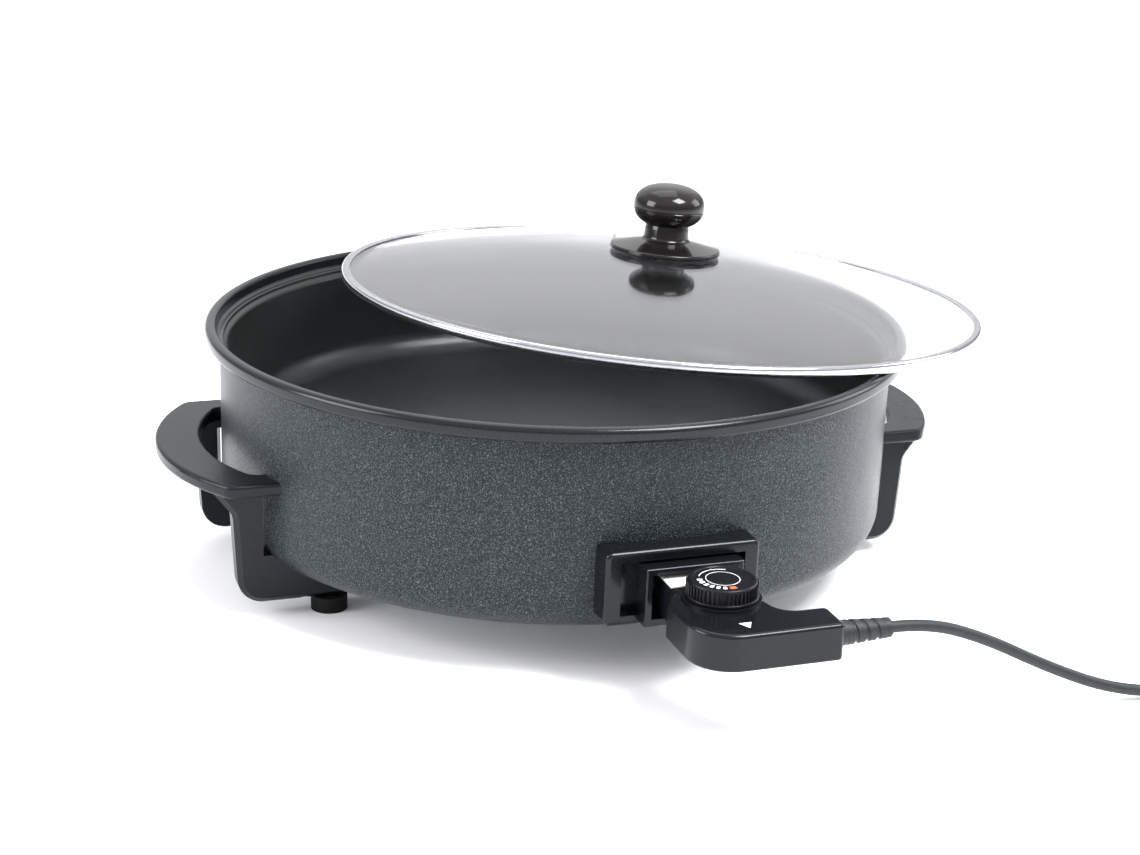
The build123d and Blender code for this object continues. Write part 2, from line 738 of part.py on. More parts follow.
def contact_blade():
    """Sprung blade that the spindle's cam swings to set the switching point."""
    blade = box_between((-12.5, -274.0, 56.6), (-10.5, -262.0, 60.6))
    return blade + disc(2.2, 56.6, 60.6, -11.5, -274.0) - disc(1.1, 50, 65, -11.5, -274.0)


def blade_pivot():
    """Post that the blade turns on."""
    low = PROBE_BOTTOM_Z + PROBE_SHELL
    return disc(2.2, low, 56.3, -11.5, -274.0) + disc(1.04, 56.3, 62.0, -11.5, -274.0)


def dial():
    """Ribbed temperature dial."""
    height = DIAL_TOP_Z - DIAL_BOTTOM_Z
    shape = disc(DIAL_R - 0.5, DIAL_BOTTOM_Z, DIAL_TOP_Z, DIAL_X, DIAL_Y)
    shape = smoothed(shape, Axis.Z, -1, 1.0)
    ribs = Sketch()
    for step in range(DIAL_RIBS):
        ribs += Rot(0, 0, step * 360 / DIAL_RIBS) * Pos(DIAL_R - 0.8, 0) * Rectangle(1.6, 1.2)
    shape += Pos(DIAL_X, DIAL_Y, DIAL_BOTTOM_Z) * extrude(ribs, height - 1.8)
    return shape - disc(SPINDLE_R, DIAL_BOTTOM_Z - 1, DIAL_TOP_Z - 3, DIAL_X, DIAL_Y)


def dial_bezel():
    """Thin raised ring on the case around the dial's foot."""
    return ring(DIAL_R + 1.6, DIAL_R - 3.0, PROBE_TOP_Z, PROBE_TOP_Z + 1.3, DIAL_X, DIAL_Y) - (
        box_between((-40, -236.5, 60), (40, -200, 70))
    )


def dial_spindle():
    """Shaft from the dial down into the thermostat."""
    return disc(SPINDLE_R, 52.4, DIAL_TOP_Z - 3, DIAL_X, DIAL_Y)


def strain_relief():
    """Tapered, grooved boot where the cord leaves the arm."""
    boot = Plane(origin=(PROBE_ARM_X, CORD_Y, 57.0), z_dir=(1, 0, 0))
    length = RELIEF_END_X - PROBE_ARM_X
    cone = loft([boot * Circle(6.9), boot.offset(length) * Circle(5.2)])
    for step in range(4):
        middle = 5.0 + step * 6.6
        cut = boot.offset(middle) * (Circle(9) - Circle(4.6))
        groove = extrude(cut, 2.0)
        near_y = CORD_Y if step % 2 else CORD_Y - 10
        cone -= groove & box_between((0, near_y, 40), (120, near_y + 10, 80))
    root = cylinder_between((PROBE_ARM_X - 6, CORD_Y, 57.0), (PROBE_ARM_X, CORD_Y, 57.0), 4.5)
    return cone + root


def cord_radii():
    """The arc at each inner corner of the cord's route, as large as its runs allow."""
    radii = []
    for before, corner, after in zip(CORD_ROUTE, CORD_ROUTE[1:], CORD_ROUTE[2:]):
        arriving = Vector(*corner) - Vector(*before)
        leaving = Vector(*after) - Vector(*corner)
        half_turn = math.radians(arriving.get_angle(leaving)) / 2
        radii.append(0.45 * min(arriving.length, leaving.length) / math.tan(half_turn))
    return radii


def cord_tube():
    """The cord from the strain relief down to the table and along to its coil."""
    path = FilletPolyline(*CORD_ROUTE, radius=cord_radii())
    profile = Plane(origin=path @ 0, z_dir=path % 0) * Circle(CORD_R)
    tube = sweep(profile, path)
    wanted = math.pi * CORD_R**2 * path.length
    print("cord tube volume over section times length", round(tube.volume / wanted, 4))
    print("cord radii", [round(radius, 1) for radius in cord_radii()])
    return tube


def cord_coil():
    """Outer shape of the coiled cord, with the straight stubs that enter and leave it."""
    low = CORD_ROUTE[-1][2] - CORD_R
    top = COIL_TOP_TURN_Z + CORD_R
    coil = ring(COIL_OUTER_TURN_R + CORD_R, COIL_INNER_TURN_R - CORD_R, low, top, COIL_X, COIL_Y)
    entry = CORD_ROUTE[-1]
    coil += cylinder_between(entry, (COIL_X, entry[1], entry[2]), CORD_R)
    leave_x = COIL_X + COIL_OUTER_TURN_R
    start = (leave_x, COIL_Y, COIL_TOP_TURN_Z)
    return coil + cylinder_between(start, (leave_x, PLUG_START_Y, COIL_TOP_TURN_Z), CORD_R)


def plug_centre():
    """X and Y of the middle of the plug's round body."""
    return COIL_X + COIL_OUTER_TURN_R, PLUG_START_Y + 20.0 + PLUG_R


def plug_body():
    """Moulded side-entry mains plug, lying on its back with its pins up."""
    x, y = plug_centre()
    body = disc(PLUG_R, 0, PLUG_HEIGHT, x, y)
    body = smoothed(body, Axis.Z, 0, 3.0)
    body -= disc(PLUG_R - 3.0, PLUG_HEIGHT - 1.0, PLUG_HEIGHT + 1, x, y)
    start = Plane(origin=(x, PLUG_START_Y, COIL_TOP_TURN_Z), z_dir=(0, 1, 0))
    relief = loft([start * Circle(4.6), start.offset(20.0) * Circle(6.5)])
    relief += cylinder_between((x, PLUG_START_Y + 20, COIL_TOP_TURN_Z), (x, y, COIL_TOP_TURN_Z), 6.5)
    body += relief
    for side in (-1, 1):
        body -= disc(1.8, PLUG_HEIGHT - 12, PLUG_HEIGHT + 1, x + side * 9.5, y)
    return body


def plug_pins():
    """Two round pins, 19 mm apart and 19 mm long."""
    x, y = plug_centre()
    pins = []
    for side in (-1, 1):
        pin = disc(2.4, PLUG_HEIGHT - 1, PLUG_HEIGHT + 18, x + side * 9.5, y)
        pin = fillet(pin.faces().sort_by(Axis.Z)[-1].edges(), 1.6)
        pins.append(pin + disc(1.8, PLUG_HEIGHT - 12, PLUG_HEIGHT, x + side * 9.5, y))
    return Compound(pins)


def build():
    """Makes every sub-part and writes each to its own file."""
    nodes = {
        "cooking_pan": cooking_pan(),
        "outer_body": outer_body(),
        "bottom_cover": bottom_cover(),
        "cover_screws": cover_screws(),
        "heat_reflector": heat_reflector(),
        "reflector_posts": reflector_posts(),
        "heating_element": heating_element(),
        "element_clips": element_clips(),
        "sensor_sleeve": sensor_sleeve(),
        "terminal_pins": terminal_pins(),
        "terminal_bushes": terminal_bushes(),
        "socket_frame": socket_frame(),
        "socket_sleeve": socket_sleeve(),
        "socket_screws": socket_screws(),
        "earth_blade": earth_blade(),
        "left_handle": handle(-1),
        "right_handle": handle(1),
        "handle_screws": handle_screws(),
        "handle_nuts": handle_nuts(),
        "foot_screws": foot_screws(),
        "lid_glass": lid_glass(),
        "lid_band": lid_band(),
        "lid_vent": lid_vent(),
        "knob_base": knob_base(),
        "knob_cap": knob_cap(),
        "knob_screw": knob_screw(),
        "knob_washers": knob_washers(),
        "probe_upper": probe_upper(),
        "probe_lower": probe_lower(),
        "probe_pointer": pointer_blank(),
        "housing_screws": housing_screws(),
        "probe_nose": probe_nose(),
        "nose_shield": nose_shield(),
        "probe_contacts": probe_contacts(),
        "sensor_rod": sensor_rod(),
        "thermostat_block": thermostat_block(),
        "contact_blade": contact_blade(),
        "blade_pivot": blade_pivot(),
        "dial": dial(),
        "dial_bezel": dial_bezel(),
        "dial_spindle": dial_spindle(),
        "strain_relief": strain_relief(),
        "cord_tube": cord_tube(),
        "cord_coil": cord_coil(),
        "plug_body": plug_body(),
        "plug_pins": plug_pins(),
    }
    names = {(-1, -1): "left_front", (-1, 1): "left_back", (1, -1): "right_front", (1, 1): "right_back"}
    for (side, end), name in names.items():
        nodes["foot_" + name] = foot(side * FOOT_X, end * FOOT_Y)
    os.makedirs("parts", exist_ok=True)
    for name, shape in nodes.items():
        export_step(shape, "parts/" + name + ".step")


build()
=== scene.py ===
"""Deep round electric griddle with its lid askew and its dial probe plugged in."""

import json
import logging
import math
from dataclasses import dataclass, field
from enum import Enum

import bmesh
import bpy
from mathutils import Matrix, Vector

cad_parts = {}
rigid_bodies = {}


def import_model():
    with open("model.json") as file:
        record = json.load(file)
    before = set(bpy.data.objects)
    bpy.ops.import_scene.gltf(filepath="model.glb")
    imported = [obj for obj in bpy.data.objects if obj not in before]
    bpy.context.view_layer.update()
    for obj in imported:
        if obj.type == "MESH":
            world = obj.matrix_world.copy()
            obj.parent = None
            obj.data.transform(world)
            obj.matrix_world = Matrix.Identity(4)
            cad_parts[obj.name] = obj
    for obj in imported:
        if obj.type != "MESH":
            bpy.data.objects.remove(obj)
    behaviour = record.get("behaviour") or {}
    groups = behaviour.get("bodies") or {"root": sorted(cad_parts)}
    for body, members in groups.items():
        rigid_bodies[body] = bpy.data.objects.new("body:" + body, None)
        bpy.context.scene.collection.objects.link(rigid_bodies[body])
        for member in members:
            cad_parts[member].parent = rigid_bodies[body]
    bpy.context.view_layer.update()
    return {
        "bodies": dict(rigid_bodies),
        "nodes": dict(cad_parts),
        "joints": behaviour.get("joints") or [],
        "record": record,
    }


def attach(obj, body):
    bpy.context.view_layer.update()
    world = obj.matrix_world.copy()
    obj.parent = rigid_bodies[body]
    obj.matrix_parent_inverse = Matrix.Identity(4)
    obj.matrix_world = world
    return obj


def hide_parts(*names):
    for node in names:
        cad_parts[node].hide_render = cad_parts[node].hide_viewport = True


logging.basicConfig(level=logging.INFO, format="%(levelname)s %(message)s")
LOG = logging.getLogger("griddle")

MM = 0.001
VEIN_CELLS = 980.0
VEIN_WARP = 520.0
VEIN_SHIFT = 0.0012
VEIN_WIDTH = 0.13
VEIN_GAPS = (0.42, 0.66)
SLOT_LENGTH = 1.15
SLOT_WIDTH = 0.26
Point = tuple[float, float, float]
Colour = tuple[float, float, float]


class Grain(Enum):
    """The small relief that a finish carries."""

    HAMMER = "hammer"
    FINE = "fine"
    BRUSHED = "brushed"


@dataclass(frozen=True)
class Finish:
    """One procedural finish, its colour, gloss and relief in object space."""

    name: str
    colour: Colour
    second: Colour
    roughness: float
    metallic: float = 0.0
    grain: Grain = Grain.FINE
    scale: float = 900.0
    bump: float = 0.05
    spread: float = 0.08
    coat: float = 0.0
    coat_roughness: float = 0.1
    specular: float = 0.5

    def build(self) -> bpy.types.Material:
        """Makes the material's nodes.

        Returns:
            The finished material.
        """
        material = bpy.data.materials.new(self.name)
        material.use_nodes = True
        tree = material.node_tree
        nodes, links = tree.nodes, tree.links
        shader = nodes["Principled BSDF"]
        shader.inputs["Metallic"].default_value = self.metallic
        shader.inputs["Coat Weight"].default_value = self.coat
        shader.inputs["Coat Roughness"].default_value = self.coat_roughness
        shader.inputs["Specular IOR Level"].default_value = self.specular
        where = nodes.new("ShaderNodeTexCoord")
        stretch = nodes.new("ShaderNodeMapping")
        squeeze = (1.0, 1.0, 14.0) if self.grain is Grain.BRUSHED else (1.0, 1.0, 1.0)
        stretch.inputs["Scale"].default_value = squeeze
        links.new(where.outputs["Object"], stretch.inputs["Vector"])
        noise = nodes.new("ShaderNodeTexNoise")
        noise.inputs["Scale"].default_value = self.scale
        noise.inputs["Detail"].default_value = 5.0
        links.new(stretch.outputs["Vector"], noise.inputs["Vector"])
        pattern = noise.outputs["Fac"]
        if self.grain is Grain.HAMMER:
            pattern = self._veins(nodes, links, stretch, noise)
        wear = nodes.new("ShaderNodeTexNoise")
        wear.inputs["Scale"].default_value = 24.0
        wear.inputs["Detail"].default_value = 3.0
        links.new(where.outputs["Object"], wear.inputs["Vector"])
        ramp = nodes.new("ShaderNodeValToRGB")
        low, high = (0.32, 0.68) if self.grain is not Grain.HAMMER else (0.0, 1.0)
        ramp.color_ramp.elements[0].position = low
        ramp.color_ramp.elements[1].position = high
        ramp.color_ramp.elements[0].color = (*self.colour, 1.0)
        ramp.color_ramp.elements[1].color = (*self.second, 1.0)
        links.new(pattern, ramp.inputs["Fac"])
        links.new(ramp.outputs["Color"], shader.inputs["Base Color"])
        gloss = nodes.new("ShaderNodeMapRange")
        gloss.inputs["To Min"].default_value = max(0.02, self.roughness - self.spread)
        gloss.inputs["To Max"].default_value = min(1.0, self.roughness + self.spread)
        links.new(wear.outputs["Fac"], gloss.inputs["Value"])
        links.new(gloss.outputs["Result"], shader.inputs["Roughness"])
        if self.bump > 0:
            relief = nodes.new("ShaderNodeBump")
            relief.inputs["Strength"].default_value = self.bump
            relief.inputs["Distance"].default_value = 0.0004
            links.new(pattern, relief.inputs["Height"])
            links.new(relief.outputs["Normal"], shader.inputs["Normal"])
        return material

    def _veins(
        self,
        nodes: bpy.types.Nodes,
        links: bpy.types.NodeLinks,
        stretch: bpy.types.Node,
        noise: bpy.types.Node,
    ) -> bpy.types.NodeSocket:
        """Adds the broken light veins between the beads of hammered paint.

        Args:
            nodes: the material's nodes.
            links: the material's links.
            stretch: the node that gives the place in object space.
            noise: the fine noise that breaks the veins.

        Returns:
            The socket that is 1 on a vein and 0 on a bead.
        """
        cells = nodes.new("ShaderNodeTexVoronoi")
        cells.feature = "DISTANCE_TO_EDGE"
        cells.inputs["Scale"].default_value = VEIN_CELLS
        warp = nodes.new("ShaderNodeTexNoise")
        warp.inputs["Scale"].default_value = VEIN_WARP
        mix = nodes.new("ShaderNodeVectorMath")
        mix.operation = "MULTIPLY_ADD"
        mix.inputs[1].default_value = (VEIN_SHIFT, VEIN_SHIFT, VEIN_SHIFT)
        links.new(stretch.outputs["Vector"], warp.inputs["Vector"])
        links.new(warp.outputs["Color"], mix.inputs[0])
        links.new(stretch.outputs["Vector"], mix.inputs[2])
        links.new(mix.outputs["Vector"], cells.inputs["Vector"])
        edge = nodes.new("ShaderNodeMapRange")
        edge.inputs["From Min"].default_value = 0.0
        edge.inputs["From Max"].default_value = VEIN_WIDTH
        edge.inputs["To Min"].default_value = 1.0
        edge.inputs["To Max"].default_value = 0.0
        links.new(cells.outputs["Distance"], edge.inputs["Value"])
        gaps = nodes.new("ShaderNodeMapRange")
        gaps.inputs["From Min"].default_value = VEIN_GAPS[0]
        gaps.inputs["From Max"].default_value = VEIN_GAPS[1]
        links.new(noise.outputs["Fac"], gaps.inputs["Value"])
        broken = nodes.new("ShaderNodeMath")
        broken.operation = "MULTIPLY"
        links.new(edge.outputs["Result"], broken.inputs[0])
        links.new(gaps.outputs["Result"], broken.inputs[1])
        return broken.outputs["Value"]


@dataclass(frozen=True)
class ClearGlass:
    """Tempered glass with a faint cool tint and light smears."""

    name: str = "lid_clear_glass_finish"
    tint: Colour = (0.94, 0.95, 0.98)
    roughness: float = 0.035

    def build(self) -> bpy.types.Material:
        """Makes the material's nodes.

        Returns:
            The finished material.
        """
        material = bpy.data.materials.new(self.name)
        material.use_nodes = True
        nodes, links = material.node_tree.nodes, material.node_tree.links
        shader = nodes["Principled BSDF"]
        shader.inputs["Base Color"].default_value = (*self.tint, 1.0)
        shader.inputs["Transmission Weight"].default_value = 1.0
        shader.inputs["IOR"].default_value = 1.5
        where = nodes.new("ShaderNodeTexCoord")
        smear = nodes.new("ShaderNodeTexNoise")
        smear.inputs["Scale"].default_value = 18.0
        smear.inputs["Detail"].default_value = 4.0
        links.new(where.outputs["Object"], smear.inputs["Vector"])
        gloss = nodes.new("ShaderNodeMapRange")
        gloss.inputs["To Min"].default_value = self.roughness * 0.5
        gloss.inputs["To Max"].default_value = self.roughness * 2.5
        links.new(smear.outputs["Fac"], gloss.inputs["Value"])
        links.new(gloss.outputs["Result"], shader.inputs["Roughness"])
        return material


FINISHES: dict[str, Finish] = {
    "nonstick_coat": Finish(
        "nonstick_coat_finish", (0.007, 0.009, 0.009), (0.015, 0.018, 0.017), 0.36,
        grain=Grain.FINE, scale=1500.0, bump=0.10, spread=0.07, specular=0.40,
    ),
    "hammer_coat": Finish(
        "hammer_coat_finish", (0.006, 0.009, 0.012), (0.150, 0.175, 0.190), 0.35, metallic=0.30,
        grain=Grain.HAMMER, scale=1100.0, bump=0.55, coat=0.04, coat_roughness=0.25, specular=0.22,
    ),
    "lip_coat": Finish(
        "lip_coat_finish", (0.004, 0.005, 0.006), (0.008, 0.009, 0.011), 0.20,
        scale=1300.0, bump=0.02, coat=0.05, coat_roughness=0.1, specular=0.24,
    ),
    "zinc_steel": Finish(
        "zinc_steel_finish", (0.42, 0.43, 0.45), (0.60, 0.61, 0.63), 0.36, metallic=1.0, scale=420.0,
    ),
    "bright_aluminium": Finish(
        "bright_aluminium_finish", (0.66, 0.67, 0.69), (0.80, 0.81, 0.83), 0.28, metallic=1.0,
        grain=Grain.BRUSHED, scale=260.0,
    ),
    "stainless_steel": Finish(
        "stainless_steel_finish", (0.58, 0.58, 0.59), (0.74, 0.74, 0.75), 0.26, metallic=1.0,
        grain=Grain.BRUSHED, scale=320.0,
    ),
    "polished_band": Finish(
        "polished_band_finish", (0.40, 0.40, 0.42), (0.56, 0.57, 0.59), 0.10, metallic=1.0,
        grain=Grain.BRUSHED, scale=300.0, bump=0.02, spread=0.05,
    ),
    "nickel_pins": Finish(
        "nickel_pins_finish", (0.62, 0.60, 0.56), (0.78, 0.76, 0.72), 0.20, metallic=1.0,
        grain=Grain.BRUSHED, scale=500.0,
    ),
    "brass_contacts": Finish(
        "brass_contacts_finish", (0.60, 0.40, 0.15), (0.78, 0.56, 0.24), 0.28, metallic=1.0, scale=600.0,
    ),
    "white_ceramic": Finish(
        "white_ceramic_finish", (0.70, 0.68, 0.63), (0.84, 0.82, 0.78), 0.42, scale=700.0,
    ),
    "handle_plastic": Finish(
        "handle_plastic_finish", (0.004, 0.006, 0.008), (0.008, 0.011, 0.013), 0.28,
        scale=2200.0, bump=0.06, spread=0.04, specular=0.20,
    ),
    "gloss_case": Finish(
        "gloss_case_finish", (0.003, 0.004, 0.005), (0.006, 0.007, 0.009), 0.17,
        scale=1600.0, bump=0.01, spread=0.04, coat=0.03, coat_roughness=0.06, specular=0.22,
    ),
    "foot_rubber": Finish(
        "foot_rubber_finish", (0.004, 0.004, 0.004), (0.009, 0.009, 0.009), 0.66, scale=1300.0, bump=0.15,
        specular=0.15,
    ),
    "knob_plastic": Finish(
        "knob_plastic_finish", (0.005, 0.004, 0.004), (0.010, 0.008, 0.008), 0.12,
        scale=1800.0, bump=0.01, spread=0.04, coat=0.06, coat_roughness=0.05, specular=0.32,
    ),
    "washer_rubber": Finish(
        "washer_rubber_finish", (0.16, 0.16, 0.16), (0.26, 0.26, 0.26), 0.62, scale=1100.0, bump=0.10,
    ),
    "white_mark": Finish(
        "white_mark_finish", (0.74, 0.74, 0.74), (0.86, 0.86, 0.86), 0.46, scale=1400.0, bump=0.03,
    ),
    "warm_mark": Finish(
        "warm_mark_finish", (0.62, 0.09, 0.03), (0.78, 0.14, 0.05), 0.46, scale=1400.0, bump=0.03,
    ),
    "dial_plastic": Finish(
        "dial_plastic_finish", (0.004, 0.004, 0.006), (0.008, 0.008, 0.011), 0.28,
        scale=1700.0, bump=0.05, spread=0.06, specular=0.20,
    ),
    "cord_rubber": Finish(
        "cord_rubber_finish", (0.010, 0.012, 0.013), (0.019, 0.022, 0.024), 0.50, scale=1300.0, bump=0.14,
        specular=0.30,
    ),
    "plug_plastic": Finish(
        "plug_plastic_finish", (0.030, 0.030, 0.033), (0.050, 0.050, 0.054), 0.48, scale=1500.0, bump=0.10,
    ),
}


class Wardrobe:
    """Builds each finish once and hands it out."""

    def __init__(self) -> None:
        """Starts with nothing built."""
        self._made: dict[str, bpy.types.Material] = {}

    def get(self, name: str) -> bpy.types.Material:
        """Gives a finish by name.

        Args:
            name: the finish's key, or lid_clear_glass.

        Returns:
            The material, built on first use.
        """
        if name not in self._made:
            maker = ClearGlass() if name == "lid_clear_glass" else FINISHES[name]
            self._made[name] = maker.build()
        return self._made[name]

    def dress(self, piece: bpy.types.Object, name: str) -> None:
        """Puts one finish on every slot of a piece.

        Args:
            piece: the object to finish.
            name: the finish's key.
        """
        material = self.get(name)
        if piece.data.materials:
            for index in range(len(piece.data.materials)):
                piece.data.materials[index] = material
        else:
            piece.data.materials.append(material)


WARDROBE = Wardrobe()


def new_piece(name: str, mesh: bpy.types.Mesh) -> bpy.types.Object:
    """Links a mesh into the scene as a piece at the origin."""
    piece = bpy.data.objects.new(name, mesh)
    bpy.context.scene.collection.objects.link(piece)
    return piece


def smooth(mesh: bpy.types.Mesh, angle: float = 35.0) -> None:
    """Shades a mesh smooth, with sharp edges kept where faces turn by more than an angle.

    Args:
        mesh: the mesh to shade.
        angle: the turn in degrees from which an edge stays sharp.
    """
    work = bmesh.new()
    work.from_mesh(mesh)
    for face in work.faces:
        face.smooth = True
    for edge in work.edges:
        if len(edge.link_faces) == 2:
            edge.smooth = edge.calc_face_angle(0.0) < math.radians(angle)
    work.to_mesh(mesh)
    work.free()


def lathe(
    name: str, profile: list[tuple[float, float]], segments: int = 192, closed: bool = True
) -> bpy.types.Mesh:
    """Turns a profile of radius and height, in millimetres, about the Z axis.

    Args:
        name: the mesh's name.
        profile: the outline's points.
        segments: how many steps make the turn.
        closed: whether the outline's last point joins its first.

    Returns:
        The mesh, in metres, with its faces pointing outwards.
    """
    work = bmesh.new()
    rings = []
    for radius, height in profile:
        if radius < 1e-6:
            rings.append([work.verts.new((0.0, 0.0, height * MM))])
            continue
        ring = []
        for step in range(segments):
            angle = math.tau * step / segments
            ring.append(
                work.verts.new((radius * MM * math.cos(angle), radius * MM * math.sin(angle), height * MM))
            )
        rings.append(ring)
    pairs = list(zip(rings, rings[1:]))
    if closed:
        pairs.append((rings[-1], rings[0]))
    for low, high in pairs:
        if len(low) == 1 and len(high) == 1:
            continue
        for step in range(segments):
            after = (step + 1) % segments
            corners = [low[step % len(low)], low[after % len(low)]]
            corners += [high[after % len(high)], high[step % len(high)]]
            work.faces.new(list(dict.fromkeys(corners)))
    bmesh.ops.recalc_face_normals(work, faces=work.faces)
    return kept_mesh(work, name)


def rounded(points: list[tuple[float, float, float]], steps: int = 6) -> list[tuple[float, float]]:
    """Rounds a closed outline's corners.

    Args:
        points: radius, height and corner radius of each corner.
        steps: points along each rounded corner.

    Returns:
        The outline's points.
    """
    outline = []
    count = len(points)
    for index, (r, z, radius) in enumerate(points):
        here = Vector((r, z))
        before = Vector(points[index - 1][:2]) - here
        after = Vector(points[(index + 1) % count][:2]) - here
        if radius <= 0:
            outline.append((r, z))
            continue
        half = before.angle(after) / 2
        reach = min(radius / math.tan(half), before.length * 0.49, after.length * 0.49)
        size = reach * math.tan(half)
        start = here + before.normalized() * reach
        middle = here + (before.normalized() + after.normalized()).normalized() * (size / math.sin(half))
        end = here + after.normalized() * reach
        first = (start - middle).normalized()
        last = (end - middle).normalized()
        turn = first.angle(last)
        side = 1.0 if first.x * last.y - first.y * last.x > 0 else -1.0
        for step in range(steps + 1):
            angle = side * turn * step / steps
            c, s = math.cos(angle), math.sin(angle)
            spoke = Vector((first.x * c - first.y * s, first.x * s + first.y * c))
            point = middle + spoke * size
            outline.append((point.x, point.y))
    return outline


def cut_away(piece: bpy.types.Object, cutter: bpy.types.Mesh) -> None:
    """Cuts one mesh out of a piece and drops the cutter.

    Args:
        piece: the object that is cut.
        cutter: the mesh that is taken away from it.
    """
    tool = new_piece("cutter", cutter)
    step = piece.modifiers.new("cut", "BOOLEAN")
    step.operation = "DIFFERENCE"
    step.solver = "EXACT"
    step.object = tool
    bake_modifiers(piece)
    bpy.data.objects.remove(tool)


def bake_modifiers(piece: bpy.types.Object) -> None:
    """Turns what a piece's modifiers give into its plain mesh and removes them."""
    bpy.context.view_layer.update()
    graph = bpy.context.evaluated_depsgraph_get()
    result = bpy.data.meshes.new_from_object(piece.evaluated_get(graph))
    piece.modifiers.clear()
    piece.data = result


def kept_mesh(work: bmesh.types.BMesh, name: str) -> bpy.types.Mesh:
    """Writes a mesh being built to a named mesh and frees it."""
    mesh = bpy.data.meshes.new(name)
    work.to_mesh(mesh)
    work.free()
    return mesh


def box_mesh(name: str, low: Point, high: Point) -> bpy.types.Mesh:
    """Makes a box between two corners in millimetres."""
    work = bmesh.new()
    bmesh.ops.create_cube(work, size=1.0)
    size = [(b - a) * MM for a, b in zip(low, high)]
    middle = [(a + b) / 2 * MM for a, b in zip(low, high)]
    bmesh.ops.scale(work, vec=size, verts=work.verts)
    bmesh.ops.translate(work, vec=middle, verts=work.verts)
    return kept_mesh(work, name)


